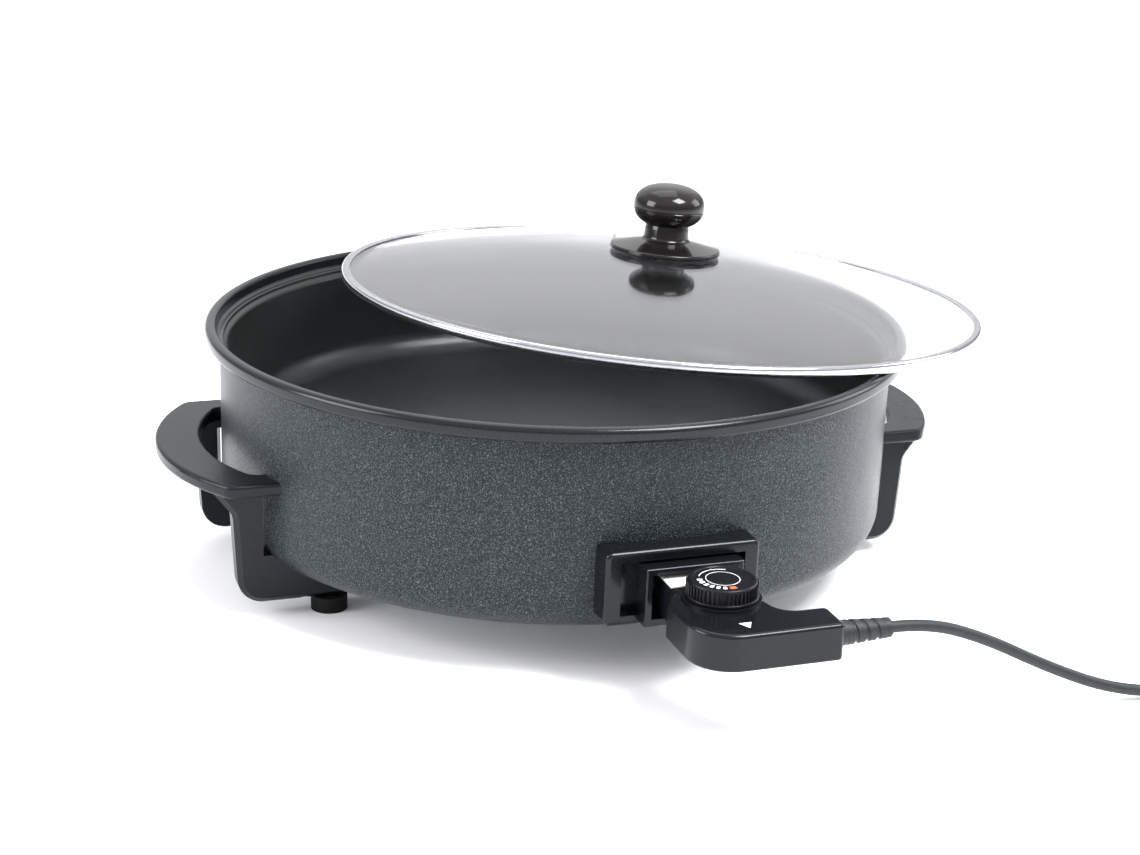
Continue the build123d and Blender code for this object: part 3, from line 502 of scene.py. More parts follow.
class Rows:
    """Geometry Nodes trees for what repeats: the screws and the dial's ribs."""

    @staticmethod
    def _tree(name: str, inputs: dict[str, tuple[str, object]]) -> bpy.types.NodeTree:
        """Starts a tree with a geometry in and out and named inputs.

        Args:
            name: the tree's name.
            inputs: socket type and default for each named input.

        Returns:
            The tree.
        """
        tree = bpy.data.node_groups.new(name, "GeometryNodeTree")
        tree.interface.new_socket("Geometry", in_out="INPUT", socket_type="NodeSocketGeometry")
        for label, (kind, value) in inputs.items():
            socket = tree.interface.new_socket(label, in_out="INPUT", socket_type=kind)
            if value is not None:
                socket.default_value = value
        tree.interface.new_socket("Geometry", in_out="OUTPUT", socket_type="NodeSocketGeometry")
        return tree

    @staticmethod
    def _scaled(
        tree: bpy.types.NodeTree, source: bpy.types.NodeSocket, factor: float
    ) -> bpy.types.NodeSocket:
        """Adds a node that multiplies a socket's value.

        Args:
            tree: the tree being built.
            source: the socket that gives the value.
            factor: what the value is multiplied by.

        Returns:
            The product's socket.
        """
        product = tree.nodes.new("ShaderNodeMath")
        product.operation = "MULTIPLY"
        product.inputs[1].default_value = factor
        tree.links.new(source, product.inputs[0])
        return product.outputs[0]

    @staticmethod
    def run(
        name: str, tree: bpy.types.NodeTree, host: bpy.types.Mesh, values: dict[str, object]
    ) -> bpy.types.Object:
        """Runs a tree on a host mesh and keeps the plain result.

        Args:
            name: the finished piece's name.
            tree: the Geometry Nodes tree.
            host: the mesh whose points the tree works on.
            values: the named inputs' values.

        Returns:
            The finished piece, with no modifier left.
        """
        piece = new_piece(name, host)
        step = piece.modifiers.new("row", "NODES")
        step.node_group = tree
        for item in tree.interface.items_tree:
            if item.item_type == "SOCKET" and item.in_out == "INPUT" and item.name in values:
                step[item.identifier] = values[item.name]
        bake_modifiers(piece)
        return piece

    @classmethod
    def screws(cls) -> bpy.types.NodeTree:
        """Makes the tree that puts a cross-headed screw on each point, head at the point.

        Returns:
            The tree.
        """
        tree = cls._tree("screw_row", {
            "Head Radius": ("NodeSocketFloat", 0.003),
            "Head Height": ("NodeSocketFloat", 0.002),
            "Shank Radius": ("NodeSocketFloat", 0.0015),
            "Shank Length": ("NodeSocketFloat", 0.01),
            "Finish": ("NodeSocketMaterial", None),
        })
        nodes, links = tree.nodes, tree.links
        given = nodes.new("NodeGroupInput")
        out = nodes.new("NodeGroupOutput")
        head = nodes.new("GeometryNodeMeshCylinder")
        head.inputs["Vertices"].default_value = 28
        links.new(given.outputs["Head Radius"], head.inputs["Radius"])
        links.new(given.outputs["Head Height"], head.inputs["Depth"])
        lift = nodes.new("ShaderNodeCombineXYZ")
        links.new(cls._scaled(tree, given.outputs["Head Height"], 0.5), lift.inputs["Z"])
        raised = nodes.new("GeometryNodeTransform")
        links.new(head.outputs["Mesh"], raised.inputs["Geometry"])
        links.new(lift.outputs[0], raised.inputs["Translation"])
        bars = nodes.new("GeometryNodeJoinGeometry")
        for angle in (0.0, math.pi / 2):
            bar = nodes.new("GeometryNodeMeshCube")
            size = nodes.new("ShaderNodeCombineXYZ")
            links.new(cls._scaled(tree, given.outputs["Head Radius"], SLOT_LENGTH), size.inputs["X"])
            links.new(cls._scaled(tree, given.outputs["Head Radius"], SLOT_WIDTH), size.inputs["Y"])
            links.new(given.outputs["Head Height"], size.inputs["Z"])
            links.new(size.outputs[0], bar.inputs["Size"])
            turned = nodes.new("GeometryNodeTransform")
            turned.inputs["Rotation"].default_value = (0.0, 0.0, angle)
            links.new(bar.outputs["Mesh"], turned.inputs["Geometry"])
            links.new(turned.outputs["Geometry"], bars.inputs["Geometry"])
        recess = nodes.new("GeometryNodeMeshBoolean")
        recess.operation = "DIFFERENCE"
        links.new(raised.outputs["Geometry"], recess.inputs[0])
        links.new(bars.outputs["Geometry"], recess.inputs[1])
        shank = nodes.new("GeometryNodeMeshCylinder")
        shank.inputs["Vertices"].default_value = 20
        links.new(given.outputs["Shank Radius"], shank.inputs["Radius"])
        links.new(given.outputs["Shank Length"], shank.inputs["Depth"])
        reach = nodes.new("ShaderNodeMath")
        reach.operation = "MULTIPLY_ADD"
        reach.inputs[1].default_value = 0.5
        links.new(given.outputs["Shank Length"], reach.inputs[0])
        links.new(given.outputs["Head Height"], reach.inputs[2])
        down = nodes.new("ShaderNodeCombineXYZ")
        links.new(reach.outputs[0], down.inputs["Z"])
        placed = nodes.new("GeometryNodeTransform")
        links.new(shank.outputs["Mesh"], placed.inputs["Geometry"])
        links.new(down.outputs[0], placed.inputs["Translation"])
        screw = nodes.new("GeometryNodeJoinGeometry")
        links.new(recess.outputs["Mesh"], screw.inputs["Geometry"])
        links.new(placed.outputs["Geometry"], screw.inputs["Geometry"])
        spots = nodes.new("GeometryNodeMeshToPoints")
        links.new(given.outputs["Geometry"], spots.inputs["Mesh"])
        row = nodes.new("GeometryNodeInstanceOnPoints")
        links.new(spots.outputs["Points"], row.inputs["Points"])
        links.new(screw.outputs["Geometry"], row.inputs["Instance"])
        real = nodes.new("GeometryNodeRealizeInstances")
        links.new(row.outputs["Instances"], real.inputs["Geometry"])
        coat = nodes.new("GeometryNodeSetMaterial")
        links.new(real.outputs["Geometry"], coat.inputs["Geometry"])
        links.new(given.outputs["Finish"], coat.inputs["Material"])
        links.new(coat.outputs["Geometry"], out.inputs["Geometry"])
        return tree

    @classmethod
    def ribs(cls) -> bpy.types.NodeTree:
        """Makes the tree that sets upright ribs round a circle.

        Returns:
            The tree.
        """
        tree = cls._tree("rib_circle", {
            "Count": ("NodeSocketInt", 48),
            "Circle Radius": ("NodeSocketFloat", 0.018),
            "Rib Size": ("NodeSocketVector", (0.0016, 0.0012, 0.008)),
            "Centre": ("NodeSocketVector", (0.0, 0.0, 0.0)),
            "Finish": ("NodeSocketMaterial", None),
        })
        nodes, links = tree.nodes, tree.links
        given = nodes.new("NodeGroupInput")
        out = nodes.new("NodeGroupOutput")
        circle = nodes.new("GeometryNodeMeshCircle")
        links.new(given.outputs["Count"], circle.inputs["Vertices"])
        links.new(given.outputs["Circle Radius"], circle.inputs["Radius"])
        rib = nodes.new("GeometryNodeMeshCylinder")
        rib.inputs["Vertices"].default_value = 8
        rib.inputs["Radius"].default_value = 0.5
        rib.inputs["Depth"].default_value = 1.0
        where = nodes.new("GeometryNodeInputPosition")
        face = nodes.new("FunctionNodeAlignRotationToVector")
        face.axis = "X"
        links.new(where.outputs["Position"], face.inputs["Vector"])
        row = nodes.new("GeometryNodeInstanceOnPoints")
        links.new(circle.outputs["Mesh"], row.inputs["Points"])
        links.new(rib.outputs["Mesh"], row.inputs["Instance"])
        links.new(face.outputs["Rotation"], row.inputs["Rotation"])
        links.new(given.outputs["Rib Size"], row.inputs["Scale"])
        real = nodes.new("GeometryNodeRealizeInstances")
        links.new(row.outputs["Instances"], real.inputs["Geometry"])
        place = nodes.new("GeometryNodeTransform")
        links.new(real.outputs["Geometry"], place.inputs["Geometry"])
        links.new(given.outputs["Centre"], place.inputs["Translation"])
        coat = nodes.new("GeometryNodeSetMaterial")
        links.new(place.outputs["Geometry"], coat.inputs["Geometry"])
        links.new(given.outputs["Finish"], coat.inputs["Material"])
        links.new(coat.outputs["Geometry"], out.inputs["Geometry"])
        return tree


@dataclass
class Studio:
    """Pale floor, soft lights and the camera."""

    target: Point = (0.0, 0.0, 0.147)
    distance: float = 1.215
    elevation: float = 18.55
    azimuth: float = -20.01
    roll: float = 2.14
    slide_right: float = -0.00824
    slide_up: float = 0.06634
    lens: float = 63.158
    wall_glow: float = 0.55
    ceiling_glow: float = 1.30

    def build(self) -> None:
        """Makes the camera, the floor and the lights."""
        bpy.context.scene.view_settings.view_transform = "Standard"
        self._camera()
        self._floor()
        self._sky()
        self._softbox("key_light", (-1.50, -0.05, 0.72), (0.0, 0.0, 0.08), 0.8, 20.0)
        self._softbox("side_light", (1.45, -0.10, 0.70), (0.1, 0.0, 0.08), 0.7, 8.0)
        self._softbox("top_light", (0.10, 0.55, 1.8), (0.05, 0.0, 0.12), 1.2, 9.0)
        self._softbox("back_panel", (0.35, 2.3, 1.35), (0.0, 0.0, 0.25), 3.6, 17.0)
        self._softbox("edge_light", (0.44, -0.70, 1.26), (0.0, -0.25, 0.07), 0.62, 34.0)

    def _camera(self) -> None:
        """Sets the camera in its place, with its small roll."""
        a, e, turn = (math.radians(v) for v in (self.azimuth, self.elevation, self.roll))
        right = Vector((math.cos(a), math.sin(a), 0.0))
        back = Vector((math.sin(a) * math.cos(e), -math.cos(a) * math.cos(e), math.sin(e)))
        up = back.cross(right)
        across = right * math.cos(turn) + up * math.sin(turn)
        above = up * math.cos(turn) - right * math.sin(turn)
        spot = Vector(self.target) + back * self.distance
        spot -= across * self.slide_right + above * self.slide_up
        data = bpy.data.cameras.new("camera")
        data.lens = self.lens
        data.sensor_fit = "HORIZONTAL"
        data.sensor_width = 36.0
        data.clip_end = 120.0
        camera = bpy.data.objects.new("camera", data)
        frame = Matrix((across, above, back)).transposed().to_4x4()
        frame.translation = spot
        camera.matrix_world = frame
        bpy.context.scene.collection.objects.link(camera)
        bpy.context.scene.camera = camera

    def _floor(self) -> None:
        """Lays a wide pale floor at the height that the feet stand on."""
        work = bmesh.new()
        bmesh.ops.create_grid(work, x_segments=1, y_segments=1, size=50.0)
        floor = new_piece("floor", kept_mesh(work, "floor"))
        material = bpy.data.materials.new("pale_floor")
        material.use_nodes = True
        shader = material.node_tree.nodes["Principled BSDF"]
        shader.inputs["Base Color"].default_value = (0.97, 0.97, 0.98, 1.0)
        shader.inputs["Roughness"].default_value = 0.9
        shader.inputs["Specular IOR Level"].default_value = 0.1
        floor.data.materials.append(material)

    def _sky(self) -> None:
        """Lights the room with a nearly white ceiling over dimmer walls."""
        world = bpy.data.worlds.new("studio_air")
        world.use_nodes = True
        nodes, links = world.node_tree.nodes, world.node_tree.links
        air = nodes["Background"]
        air.inputs["Color"].default_value = (0.97, 0.97, 1.0, 1.0)
        where = nodes.new("ShaderNodeTexCoord")
        split = nodes.new("ShaderNodeSeparateXYZ")
        rise = nodes.new("ShaderNodeMapRange")
        rise.interpolation_type = "SMOOTHSTEP"
        rise.inputs["From Min"].default_value = 0.10
        rise.inputs["From Max"].default_value = 0.60
        rise.inputs["To Min"].default_value = self.wall_glow
        rise.inputs["To Max"].default_value = self.ceiling_glow
        links.new(where.outputs["Generated"], split.inputs["Vector"])
        links.new(split.outputs["Z"], rise.inputs["Value"])
        links.new(rise.outputs["Result"], air.inputs["Strength"])
        bpy.context.scene.world = world

    def _softbox(self, name: str, spot: Point, aim: Point, size: float, power: float) -> None:
        """Hangs one square soft light.

        Args:
            name: the light's name.
            spot: where it hangs.
            aim: what it points at.
            size: the side of its square, in metres.
            power: its power in watts.
        """
        data = bpy.data.lights.new(name, "AREA")
        data.size = size
        data.energy = power
        light = bpy.data.objects.new(name, data)
        light.location = spot
        light.rotation_euler = (Vector(aim) - Vector(spot)).to_track_quat("-Z", "Y").to_euler()
        bpy.context.scene.collection.objects.link(light)


@dataclass
class MainsCord:
    """Flexible lead from the probe to its coil; the moulded plug is not made here."""

    radius: float = 3.15
    length: float = 1.43
    turns: float = 5.25
    per_turn: int = 20
    coil_x: float = 334.0
    coil_y: float = -255.0
    outer: float = 40.9
    inner: float = 28.3
    low_z: float = 3.3
    high_z: float = 9.6
    route: list[Point] = field(default_factory=lambda: [
        (84.0, -285.0, 57.0),
        (106.0, -285.0, 57.0),
        (140.0, -285.5, 45.0),
        (180.0, -287.0, 24.0),
        (217.0, -290.0, 8.5),
        (250.0, -293.5, 3.3),
        (278.0, -295.9, 3.3),
        (305.0, -295.9, 3.3),
    ])

    def _coil_point(self, turn: float) -> Point:
        """Gives a point of the coil's turns, which wind inwards below and outwards above.

        Args:
            turn: how many turns have been wound.

        Returns:
            The point in millimetres.
        """
        angle = math.radians(-90.0) + math.tau * turn
        gap = (self.outer - self.inner) / 2
        if turn <= 2.0:
            size, height = self.outer - gap * turn, self.low_z
        elif turn <= 2.5:
            size = self.inner
            height = self.low_z + (self.high_z - self.low_z) * (turn - 2.0) / 0.5
        else:
            size, height = min(self.outer, self.inner + gap * (turn - 2.5)), self.high_z
        x = self.coil_x + size * math.cos(angle)
        return (x, self.coil_y + size * math.sin(angle), height)

    def build(self) -> bpy.types.Object:
        """Returns:
            The cord's curve.
        """
        points = list(self.route)
        for step in range(int(self.turns * self.per_turn) + 1):
            points.append(self._coil_point(step / self.per_turn))
        leave = self.coil_x + self.outer
        points += [(leave, -243.0, self.high_z), (leave, -230.0, self.high_z)]
        data = bpy.data.curves.new("mains_cord", "CURVE")
        data.dimensions = "3D"
        data.bevel_depth = self.radius * MM
        data.bevel_resolution = 5
        data.resolution_u = 8
        data.use_fill_caps = True
        spline = data.splines.new("NURBS")
        spline.points.add(len(points) - 1)
        for knot, (x, y, z) in zip(spline.points, points):
            knot.co = (x * MM, y * MM, z * MM, 1.0)
        spline.order_u = 3
        spline.use_endpoint_u = True
        cord = bpy.data.objects.new("mains_cord", data)
        bpy.context.scene.collection.objects.link(cord)
        data.materials.append(WARDROBE.get("cord_rubber"))
        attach(cord, "probe")
        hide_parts("cord_tube", "cord_coil")
        return cord


@dataclass
class Vessel:
    """Coated pan and the hammered skirt round it."""

    lip_r: float = 210.5
    lip_top: float = 147.0
    lip_under: float = 138.5
    seat_r: float = 203.9
    pan_r: float = 197.0
    floor_z: float = 72.0
    body_r: float = 202.0
    body_low: float = 29.0
    gloss_r: float = 203.0
    gloss_z: float = 138.0
    window_low: Point = (-18.0, -206.0, 46.0)
    window_high: Point = (18.0, -150.0, 70.0)

    def build(self) -> list[bpy.types.Object]:
        """Makes the pan and the skirt.

        Returns:
            The finished pieces.
        """
        return [self._pan(), self._skirt()]

    def _pan(self) -> bpy.types.Object:
        """Turns the pan, with its rolled lip in gloss and its inside in coating.

        Returns:
            The pan.
        """
        under = self.floor_z - 5.0
        outline = rounded([
            (0.0, under, 0.0),
            (199.5, under, 18.5),
            (199.5, self.lip_under, 1.0),
            (self.lip_r, self.lip_under, 2.5),
            (self.lip_r, self.lip_top, 3.2),
            (self.seat_r, self.lip_top, 2.4),
            (self.seat_r, 140.0, 1.5),
            (self.pan_r, 134.0, 3.0),
            (self.pan_r, self.floor_z, 16.0),
            (0.0, self.floor_z, 0.0),
        ], steps=9)
        mesh = lathe("pan_shell", outline, segments=256)
        mesh.materials.append(WARDROBE.get("nonstick_coat"))
        mesh.materials.append(WARDROBE.get("lip_coat"))
        for face in mesh.polygons:
            middle = face.center
            outside = math.hypot(middle.x, middle.y) > self.gloss_r * MM and middle.z > self.gloss_z * MM
            face.material_index = 1 if outside else 0
        smooth(mesh)
        pan = new_piece("pan_shell", mesh)
        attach(pan, "pan")
        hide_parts("cooking_pan")
        return pan

    def _skirt(self) -> bpy.types.Object:
        """Turns the hammered skirt and cuts the socket's window in it.

        Returns:
            The skirt.
        """
        inner = self.body_r - 1.5
        outline = rounded([
            (158.0, self.body_low, 0.4),
            (self.body_r, self.body_low, 16.0),
            (self.body_r, 138.2, 0.4),
            (inner, 138.2, 0.4),
            (inner, self.body_low + 1.5, 14.5),
            (158.0, self.body_low + 1.5, 0.4),
        ], steps=9)
        skirt = new_piece("hammered_skirt", lathe("hammered_skirt", outline, segments=256))
        cut_away(skirt, box_mesh("window", self.window_low, self.window_high))
        WARDROBE.dress(skirt, "hammer_coat")
        smooth(skirt.data)
        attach(skirt, "pan")
        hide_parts("outer_body")
        return skirt


@dataclass
class GlassLid:
    """Domed glass in its bright band, with the steam eyelet and the knob."""

    place: Point = (84.2, 40.9, 146.0)
    tilt: float = 4.1
    toward: float = 24.0
    band_r: float = 203.0
    flat_r: float = 197.0
    rise: float = 24.0
    sheet: float = 0.6
    glass_top: float = 5.0
    vent: tuple[float, float] = (-8.0, 55.0)
    knob_low: float = 29.6
    cap_low: float = 44.1
    cap_r: float = 22.5
    cap_half: float = 14.0
    cap_power: float = 0.86
    seam_drop: float = 1.8
    seam_half: float = 0.22
    seam_depth: float = 0.25

    def _pose(self) -> Matrix:
        """Gives the matrix from the lid's own axis to where it lies."""
        tilt, toward = math.radians(self.tilt), math.radians(self.toward)
        up = Vector((math.sin(tilt) * math.cos(toward), math.sin(tilt) * math.sin(toward), math.cos(tilt)))
        across = Vector((up.z, 0.0, -up.x)).normalized()
        pose = Matrix((across, up.cross(across), up)).transposed().to_4x4()
        pose.translation = Vector(self.place) * MM
        return pose

    def _dome(self, radius: float, base: float) -> float:
        """Gives the dome's height at a radius for a face that starts at a base height."""
        sphere = (self.flat_r**2 + self.rise**2) / (2 * self.rise)
        return base + self.rise - sphere + math.sqrt(sphere**2 - radius**2)

    def _finish(self, mesh: bpy.types.Mesh, slot: str, *nodes: str) -> bpy.types.Object:
        """Places a lid mesh, makes it a dressed piece and hides the CAD nodes that it replaces.

        Args:
            mesh: the mesh about the lid's axis.
            slot: the record's material slot, which is its finish's key too.
            nodes: the CAD nodes that it replaces.

        Returns:
            The piece.
        """
        mesh.transform(self._pose())
        smooth(mesh)
        piece = new_piece(mesh.name, mesh)
        WARDROBE.dress(piece, slot)
        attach(piece, "lid")
        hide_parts(*nodes)
        return piece

    def build(self) -> list[bpy.types.Object]:
        """Makes the lid's pieces.

        Returns:
            The finished pieces.
        """
        return [self._glass(), self._band(), self._eyelet(), self._disc(), self._ball()]

    def _glass(self) -> bpy.types.Object:
        """Turns the domed glass and drills the steam hole.

        Returns:
            The glass.
        """
        stations = [3.5 + (self.flat_r - 3.5) * step / 40 for step in range(41)]
        outline = [(r, self._dome(r, self.sheet)) for r in stations]
        outline += [(202.4, self.sheet), (202.4, self.glass_top)]
        outline += [(r, self._dome(r, self.glass_top)) for r in reversed(stations)]
        glass = new_piece("blank", lathe("domed_glass", outline, segments=224))
        drill = lathe("drill", [(0.0, 0.0), (3.6, 0.0), (3.6, 60.0), (0.0, 60.0)], segments=32)
        drill.transform(Matrix.Translation((self.vent[0] * MM, self.vent[1] * MM, 0.0)))
        cut_away(glass, drill)
        mesh = glass.data
        bpy.data.objects.remove(glass)
        mesh.name = "domed_glass"
        return self._finish(mesh, "lid_clear_glass", "lid_glass")

    def _band(self) -> bpy.types.Object:
        """Rolls the bright band round the glass's edge.

        Returns:
            The band.
        """
        outline = rounded([
            (198.0, 0.0, 0.2),
            (self.band_r, 0.0, 1.3),
            (self.band_r, 6.5, 2.0),
            (198.0, 5.6, 0.2),
            (198.0, self.glass_top, 0.0),
            (202.4, self.glass_top, 0.0),
            (202.4, self.sheet, 0.0),
            (198.0, self.sheet, 0.0),
        ], steps=6)
        return self._finish(lathe("bright_band", outline, segments=256), "polished_band", "lid_band")

    def _eyelet(self) -> bpy.types.Object:
        """Turns the rolled steel eyelet of the steam hole.

        Returns:
            The eyelet.
        """
        radius = math.hypot(*self.vent)
        low, high = self._dome(radius, self.sheet), self._dome(radius, self.glass_top)
        mesh = lathe("steam_eyelet", rounded([
            (2.6, low - 1.6, 0.4),
            (6.0, low - 1.6, 0.5),
            (6.0, low - 0.5, 0.2),
            (3.5, low - 0.5, 0.0),
            (3.5, high + 0.5, 0.0),
            (6.0, high + 0.5, 0.2),
            (6.0, high + 1.6, 0.6),
            (2.6, high + 1.6, 0.6),
        ], steps=4), segments=48)
        mesh.transform(Matrix.Translation((self.vent[0] * MM, self.vent[1] * MM, 0.0)))
        return self._finish(mesh, "stainless_steel", "lid_vent")

    def _disc(self) -> bpy.types.Object:
        """Turns the wide disc and neck under the knob.

        Returns:
            The disc.
        """
        low = self.knob_low
        mesh = lathe("knob_disc", rounded([
            (2.7, low, 0.0),
            (35.0, low, 0.8),
            (35.0, low + 2.8, 1.1),
            (14.4, low + 7.2, 3.0),
            (14.0, low + 14.5, 0.3),
            (2.7, low + 14.5, 0.0),
        ], steps=7), segments=128)
        return self._finish(mesh, "knob_plastic", "knob_base")

    def _ball(self) -> bpy.types.Object:
        """Turns the flattened ball, with the fine joint line round it.

        Returns:
            The knob's ball.
        """
        middle = self.cap_low + self.cap_half
        outline = [(0.0, self.cap_low), (14.0, self.cap_low)]
        steps = 110
        for step in range(steps + 1):
            angle = math.radians(-56.0 + 146.0 * step / steps)
            radius = self.cap_r * abs(math.cos(angle)) ** self.cap_power
            rise = math.copysign(abs(math.sin(angle)) ** self.cap_power, angle) * self.cap_half
            if abs(rise + self.seam_drop) < self.seam_half:
                radius -= self.seam_depth
            outline.append((0.0 if step == steps else radius, middle + rise))
        mesh = lathe("knob_ball", outline, segments=128)
        return self._finish(mesh, "knob_plastic", "knob_cap")


@dataclass
class TurnDial:
    """Ribbed dial with its printed face."""

    x: float = 6.0
    y: float = -250.0
    radius: float = 19.0
    low: float = 68.8
    top: float = 78.0
    ribs: int = 48

    def build(self) -> list[bpy.types.Object]:
        """Makes the dial's body, its ribs and its printed face.

        Returns:
            The finished pieces.
        """
        return [self._body(), self._ribs(), self._print("white_mark"), self._print("warm_mark")]

    def _body(self) -> bpy.types.Object:
        """Turns the dial with its thin foot flange and its dished face.

        Returns:
            The dial's body.
        """
        mesh = lathe("dial_body", rounded([
            (0.0, self.low, 0.0),
            (self.radius, self.low, 0.4),
            (self.radius, self.low + 1.4, 0.5),
            (17.7, self.low + 1.8, 0.2),
            (17.7, self.top, 1.1),
            (15.6, self.top, 0.2),
            (15.2, self.top - 0.35, 0.2),
            (0.0, self.top - 0.35, 0.0),
        ], steps=6), segments=144)
        mesh.transform(Matrix.Translation((self.x * MM, self.y * MM, 0.0)))
        smooth(mesh)
        piece = new_piece("dial_body", mesh)
        WARDROBE.dress(piece, "dial_plastic")
        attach(piece, "dial")
        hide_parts("dial")
        return piece

    def _ribs(self) -> bpy.types.Object:
        """Sets the grip ribs round the dial.

        Returns:
            The ribs.
        """
        height = self.top - self.low - 2.6
        host = bpy.data.meshes.new("rib_host")
        piece = Rows.run("dial_ribs", Rows.ribs(), host, {
            "Count": self.ribs,
            "Circle Radius": (self.radius - 1.1) * MM,
            "Rib Size": (1.7 * MM, 1.3 * MM, height * MM),
            "Centre": (self.x * MM, self.y * MM, (self.low + 1.4 + height / 2) * MM),
            "Finish": WARDROBE.get("dial_plastic"),
        })
        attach(piece, "dial")
        return piece

    def _sector(self, work: bmesh.types.BMesh, near: float, far: float, start: float, end: float) -> None:
        """Adds one thin printed patch between two radii and two angles.

        Args:
            work: the mesh being built.
            near: the inner radius.
            far: the outer radius.
            start: the first angle in degrees.
            end: the last angle in degrees.
        """
        low, high = self.top - 0.38, self.top - 0.25
        steps = max(2, int((end - start) / 4))
        rows = []
        for step in range(steps + 1):
            angle = math.radians(start + (end - start) * step / steps)
            row = []
            for radius, height in ((near, low), (far, low), (far, high), (near, high)):
                place = (self.x + radius * math.cos(angle), self.y + radius * math.sin(angle), height)
                row.append(work.verts.new(Vector(place) * MM))
            rows.append(row)
        for before, after in zip(rows, rows[1:]):
            for side in range(4):
                nxt = (side + 1) % 4
                work.faces.new([before[side], before[nxt], after[nxt], after[side]])
        work.faces.new(rows[0])
        work.faces.new(rows[-1])

    def _print(self, finish: str) -> bpy.types.Object:
        """Prints the face: a fine ring, heat marks and a back arc in white, the top mark warm.

        Args:
            finish: white_mark for the scale, warm_mark for the hottest mark.

        Returns:
            The printed marks.
        """
        work = bmesh.new()
        if finish == "white_mark":
            self._sector(work, 8.6, 8.95, 0.0, 359.9)
            for angle in (168.0, 184.0, 200.0, 216.0, 232.0, 248.0):
                self._sector(work, 10.8, 13.6, angle, angle + 9.0)
            self._sector(work, 12.0, 12.5, 60.0, 150.0)
        else:
            self._sector(work, 10.8, 13.6, 264.0, 280.0)
        bmesh.ops.recalc_face_normals(work, faces=work.faces)
        mesh = kept_mesh(work, "dial_" + finish)
        piece = new_piece(mesh.name, mesh)
        WARDROBE.dress(piece, finish)
        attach(piece, "dial")
        return piece


@dataclass
class CordBoot:
    """Tapered, slant-grooved boot where the cord leaves the probe's arm."""

    start_x: float = 54.0
    end_x: float = 84.0
    y: float = -285.0
    z: float = 57.0
    big: float = 6.9
    small: float = 5.2
    pitch: float = 6.2
    depth: float = 0.95

    def build(self) -> bpy.types.Object:
        """Makes the boot as one closed skin.

        Returns:
            The boot.
        """
        stations, around = 110, 56
        work = bmesh.new()
        rings = []
        profile = [(48.0, 4.4), (self.start_x - 0.05, 4.4)]
        profile += [
            (self.start_x + (self.end_x - self.start_x) * step / stations, -1.0)
            for step in range(stations + 1)
        ]
        for x, fixed in profile:
            ring = []
            along = (x - self.start_x) / (self.end_x - self.start_x)
            for step in range(around):
                angle = math.tau * step / around
                radius = fixed
                if fixed < 0:
                    wave = math.cos(math.tau * (x - self.start_x) / self.pitch - angle)
                    fade = min(1.0, max(0.0, along * 7.0 - 0.7), max(0.0, (1.0 - along) * 9.0 - 0.6))
                    groove = max(0.0, min(1.0, (wave - 0.25) * 3.0))
                    radius = self.big + (self.small - self.big) * along - self.depth * groove * fade
                place = (x, self.y + radius * math.cos(angle), self.z + radius * math.sin(angle))
                ring.append(work.verts.new(Vector(place) * MM))
            rings.append(ring)
        for before, after in zip(rings, rings[1:]):
            for step in range(around):
                nxt = (step + 1) % around
                work.faces.new([before[step], before[nxt], after[nxt], after[step]])
        work.faces.new(rings[0])
        work.faces.new(rings[-1])
        bmesh.ops.recalc_face_normals(work, faces=work.faces)
        mesh = kept_mesh(work, "cord_boot")
        smooth(mesh, 50.0)
        boot = new_piece("cord_boot", mesh)
        WARDROBE.dress(boot, "cord_rubber")
        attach(boot, "probe")
        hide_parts("strain_relief")
        return boot


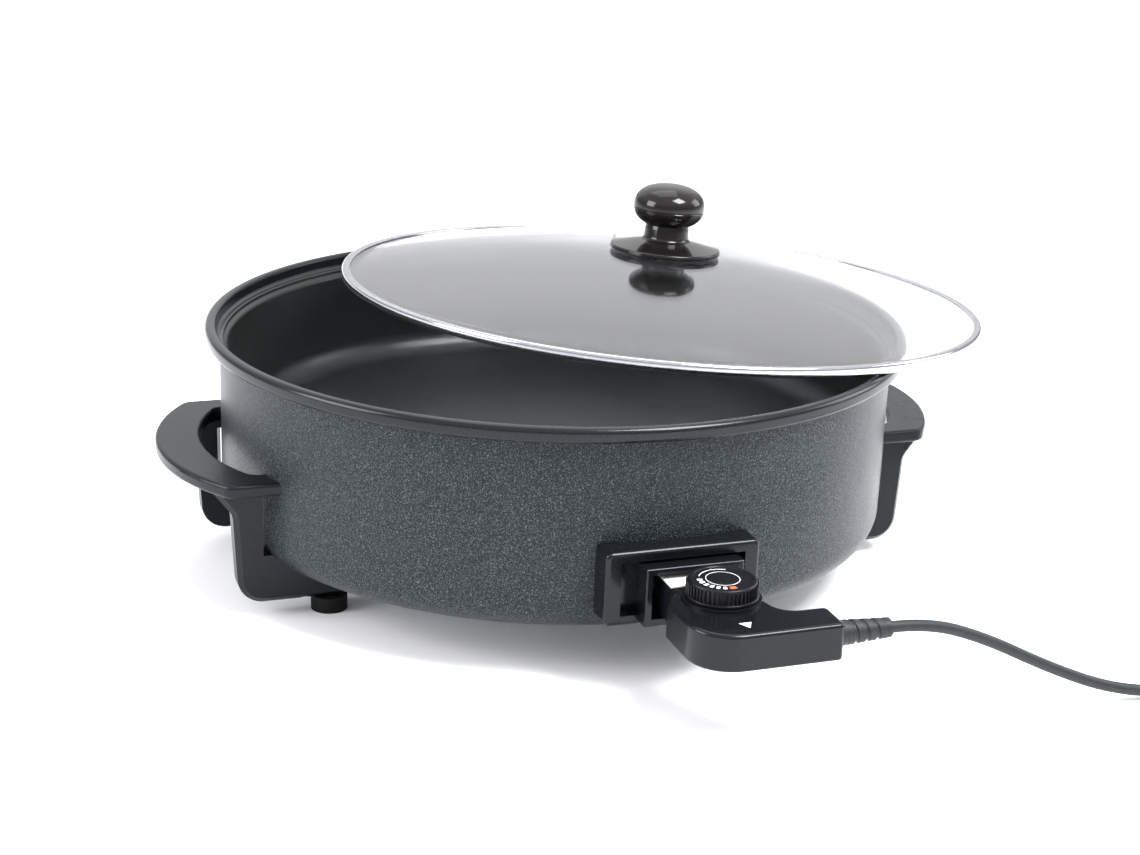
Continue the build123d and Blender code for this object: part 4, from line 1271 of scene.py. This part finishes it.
@dataclass(frozen=True)
class ScrewRow:
    """A set of like screws: where their heads start and how large they are."""

    name: str
    node: str
    body: str
    places: tuple[Point, ...]
    head_r: float
    head_h: float
    shank_r: float
    shank: float

    def build(self, tree: bpy.types.NodeTree) -> bpy.types.Object:
        """Sets the screws.

        Args:
            tree: the screw tree.

        Returns:
            The screws as one piece.
        """
        host = bpy.data.meshes.new(self.name)
        host.from_pydata([tuple(v * MM for v in place) for place in self.places], [], [])
        piece = Rows.run(self.name, tree, host, {
            "Head Radius": self.head_r * MM,
            "Head Height": self.head_h * MM,
            "Shank Radius": self.shank_r * MM,
            "Shank Length": self.shank * MM,
            "Finish": WARDROBE.get("zinc_steel"),
        })
        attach(piece, self.body)
        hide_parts(self.node)
        return piece


def square(x: float, y: float, z: float) -> tuple[Point, ...]:
    """Gives the four corners about the axis at one height."""
    return tuple((sx * x, sy * y, z) for sx in (-1, 1) for sy in (-1, 1))


SCREWS: tuple[ScrewRow, ...] = (
    ScrewRow("cover_screw_set", "cover_screws", "pan",
             ((161.0, 0.0, 27.4), (0.0, 161.0, 27.4), (-161.0, 0.0, 27.4), (0.0, -161.0, 27.4)),
             3.0, 1.6, 1.5, 7.0),
    ScrewRow("handle_screw_set", "handle_screws", "pan", square(170.0, 61.5, 17.0), 4.0, 3.0, 2.0, 15.5),
    ScrewRow("case_screw_set", "housing_screws", "probe",
             ((-15.5, -281.0, 47.6), (40.0, -278.5, 47.6), (19.0, -278.5, 47.6)), 2.4, 1.8, 1.15, 12.6),
)


class Fittings:
    """The CAD nodes whose shapes are right, each given its procedural finish."""

    def __init__(self, frame: dict) -> None:
        """Keeps the frame's nodes and the record's slot for each."""
        self._nodes = frame["nodes"]
        self._slots = {part["node"]: part["material_slot"] for part in frame["record"]["subparts"]}

    def build(self) -> None:
        """Dresses every node; the replaced ones aren't shown."""
        for name, piece in self._nodes.items():
            WARDROBE.dress(piece, self._slots[name])
            LOG.info("dressed %s in %s", name, self._slots[name])


def main() -> None:
    """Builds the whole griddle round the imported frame."""
    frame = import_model()
    Studio().build()
    cord = MainsCord().build()
    LOG.info("made %s", cord.name)
    Fittings(frame).build()
    made = [*Vessel().build(), *GlassLid().build(), *TurnDial().build(), CordBoot().build()]
    screw_tree = Rows.screws()
    made += [row.build(screw_tree) for row in SCREWS]
    for piece in made:
        LOG.info("made %s with %d faces", piece.name, len(piece.data.polygons))


if __name__ == "__main__":
    main()
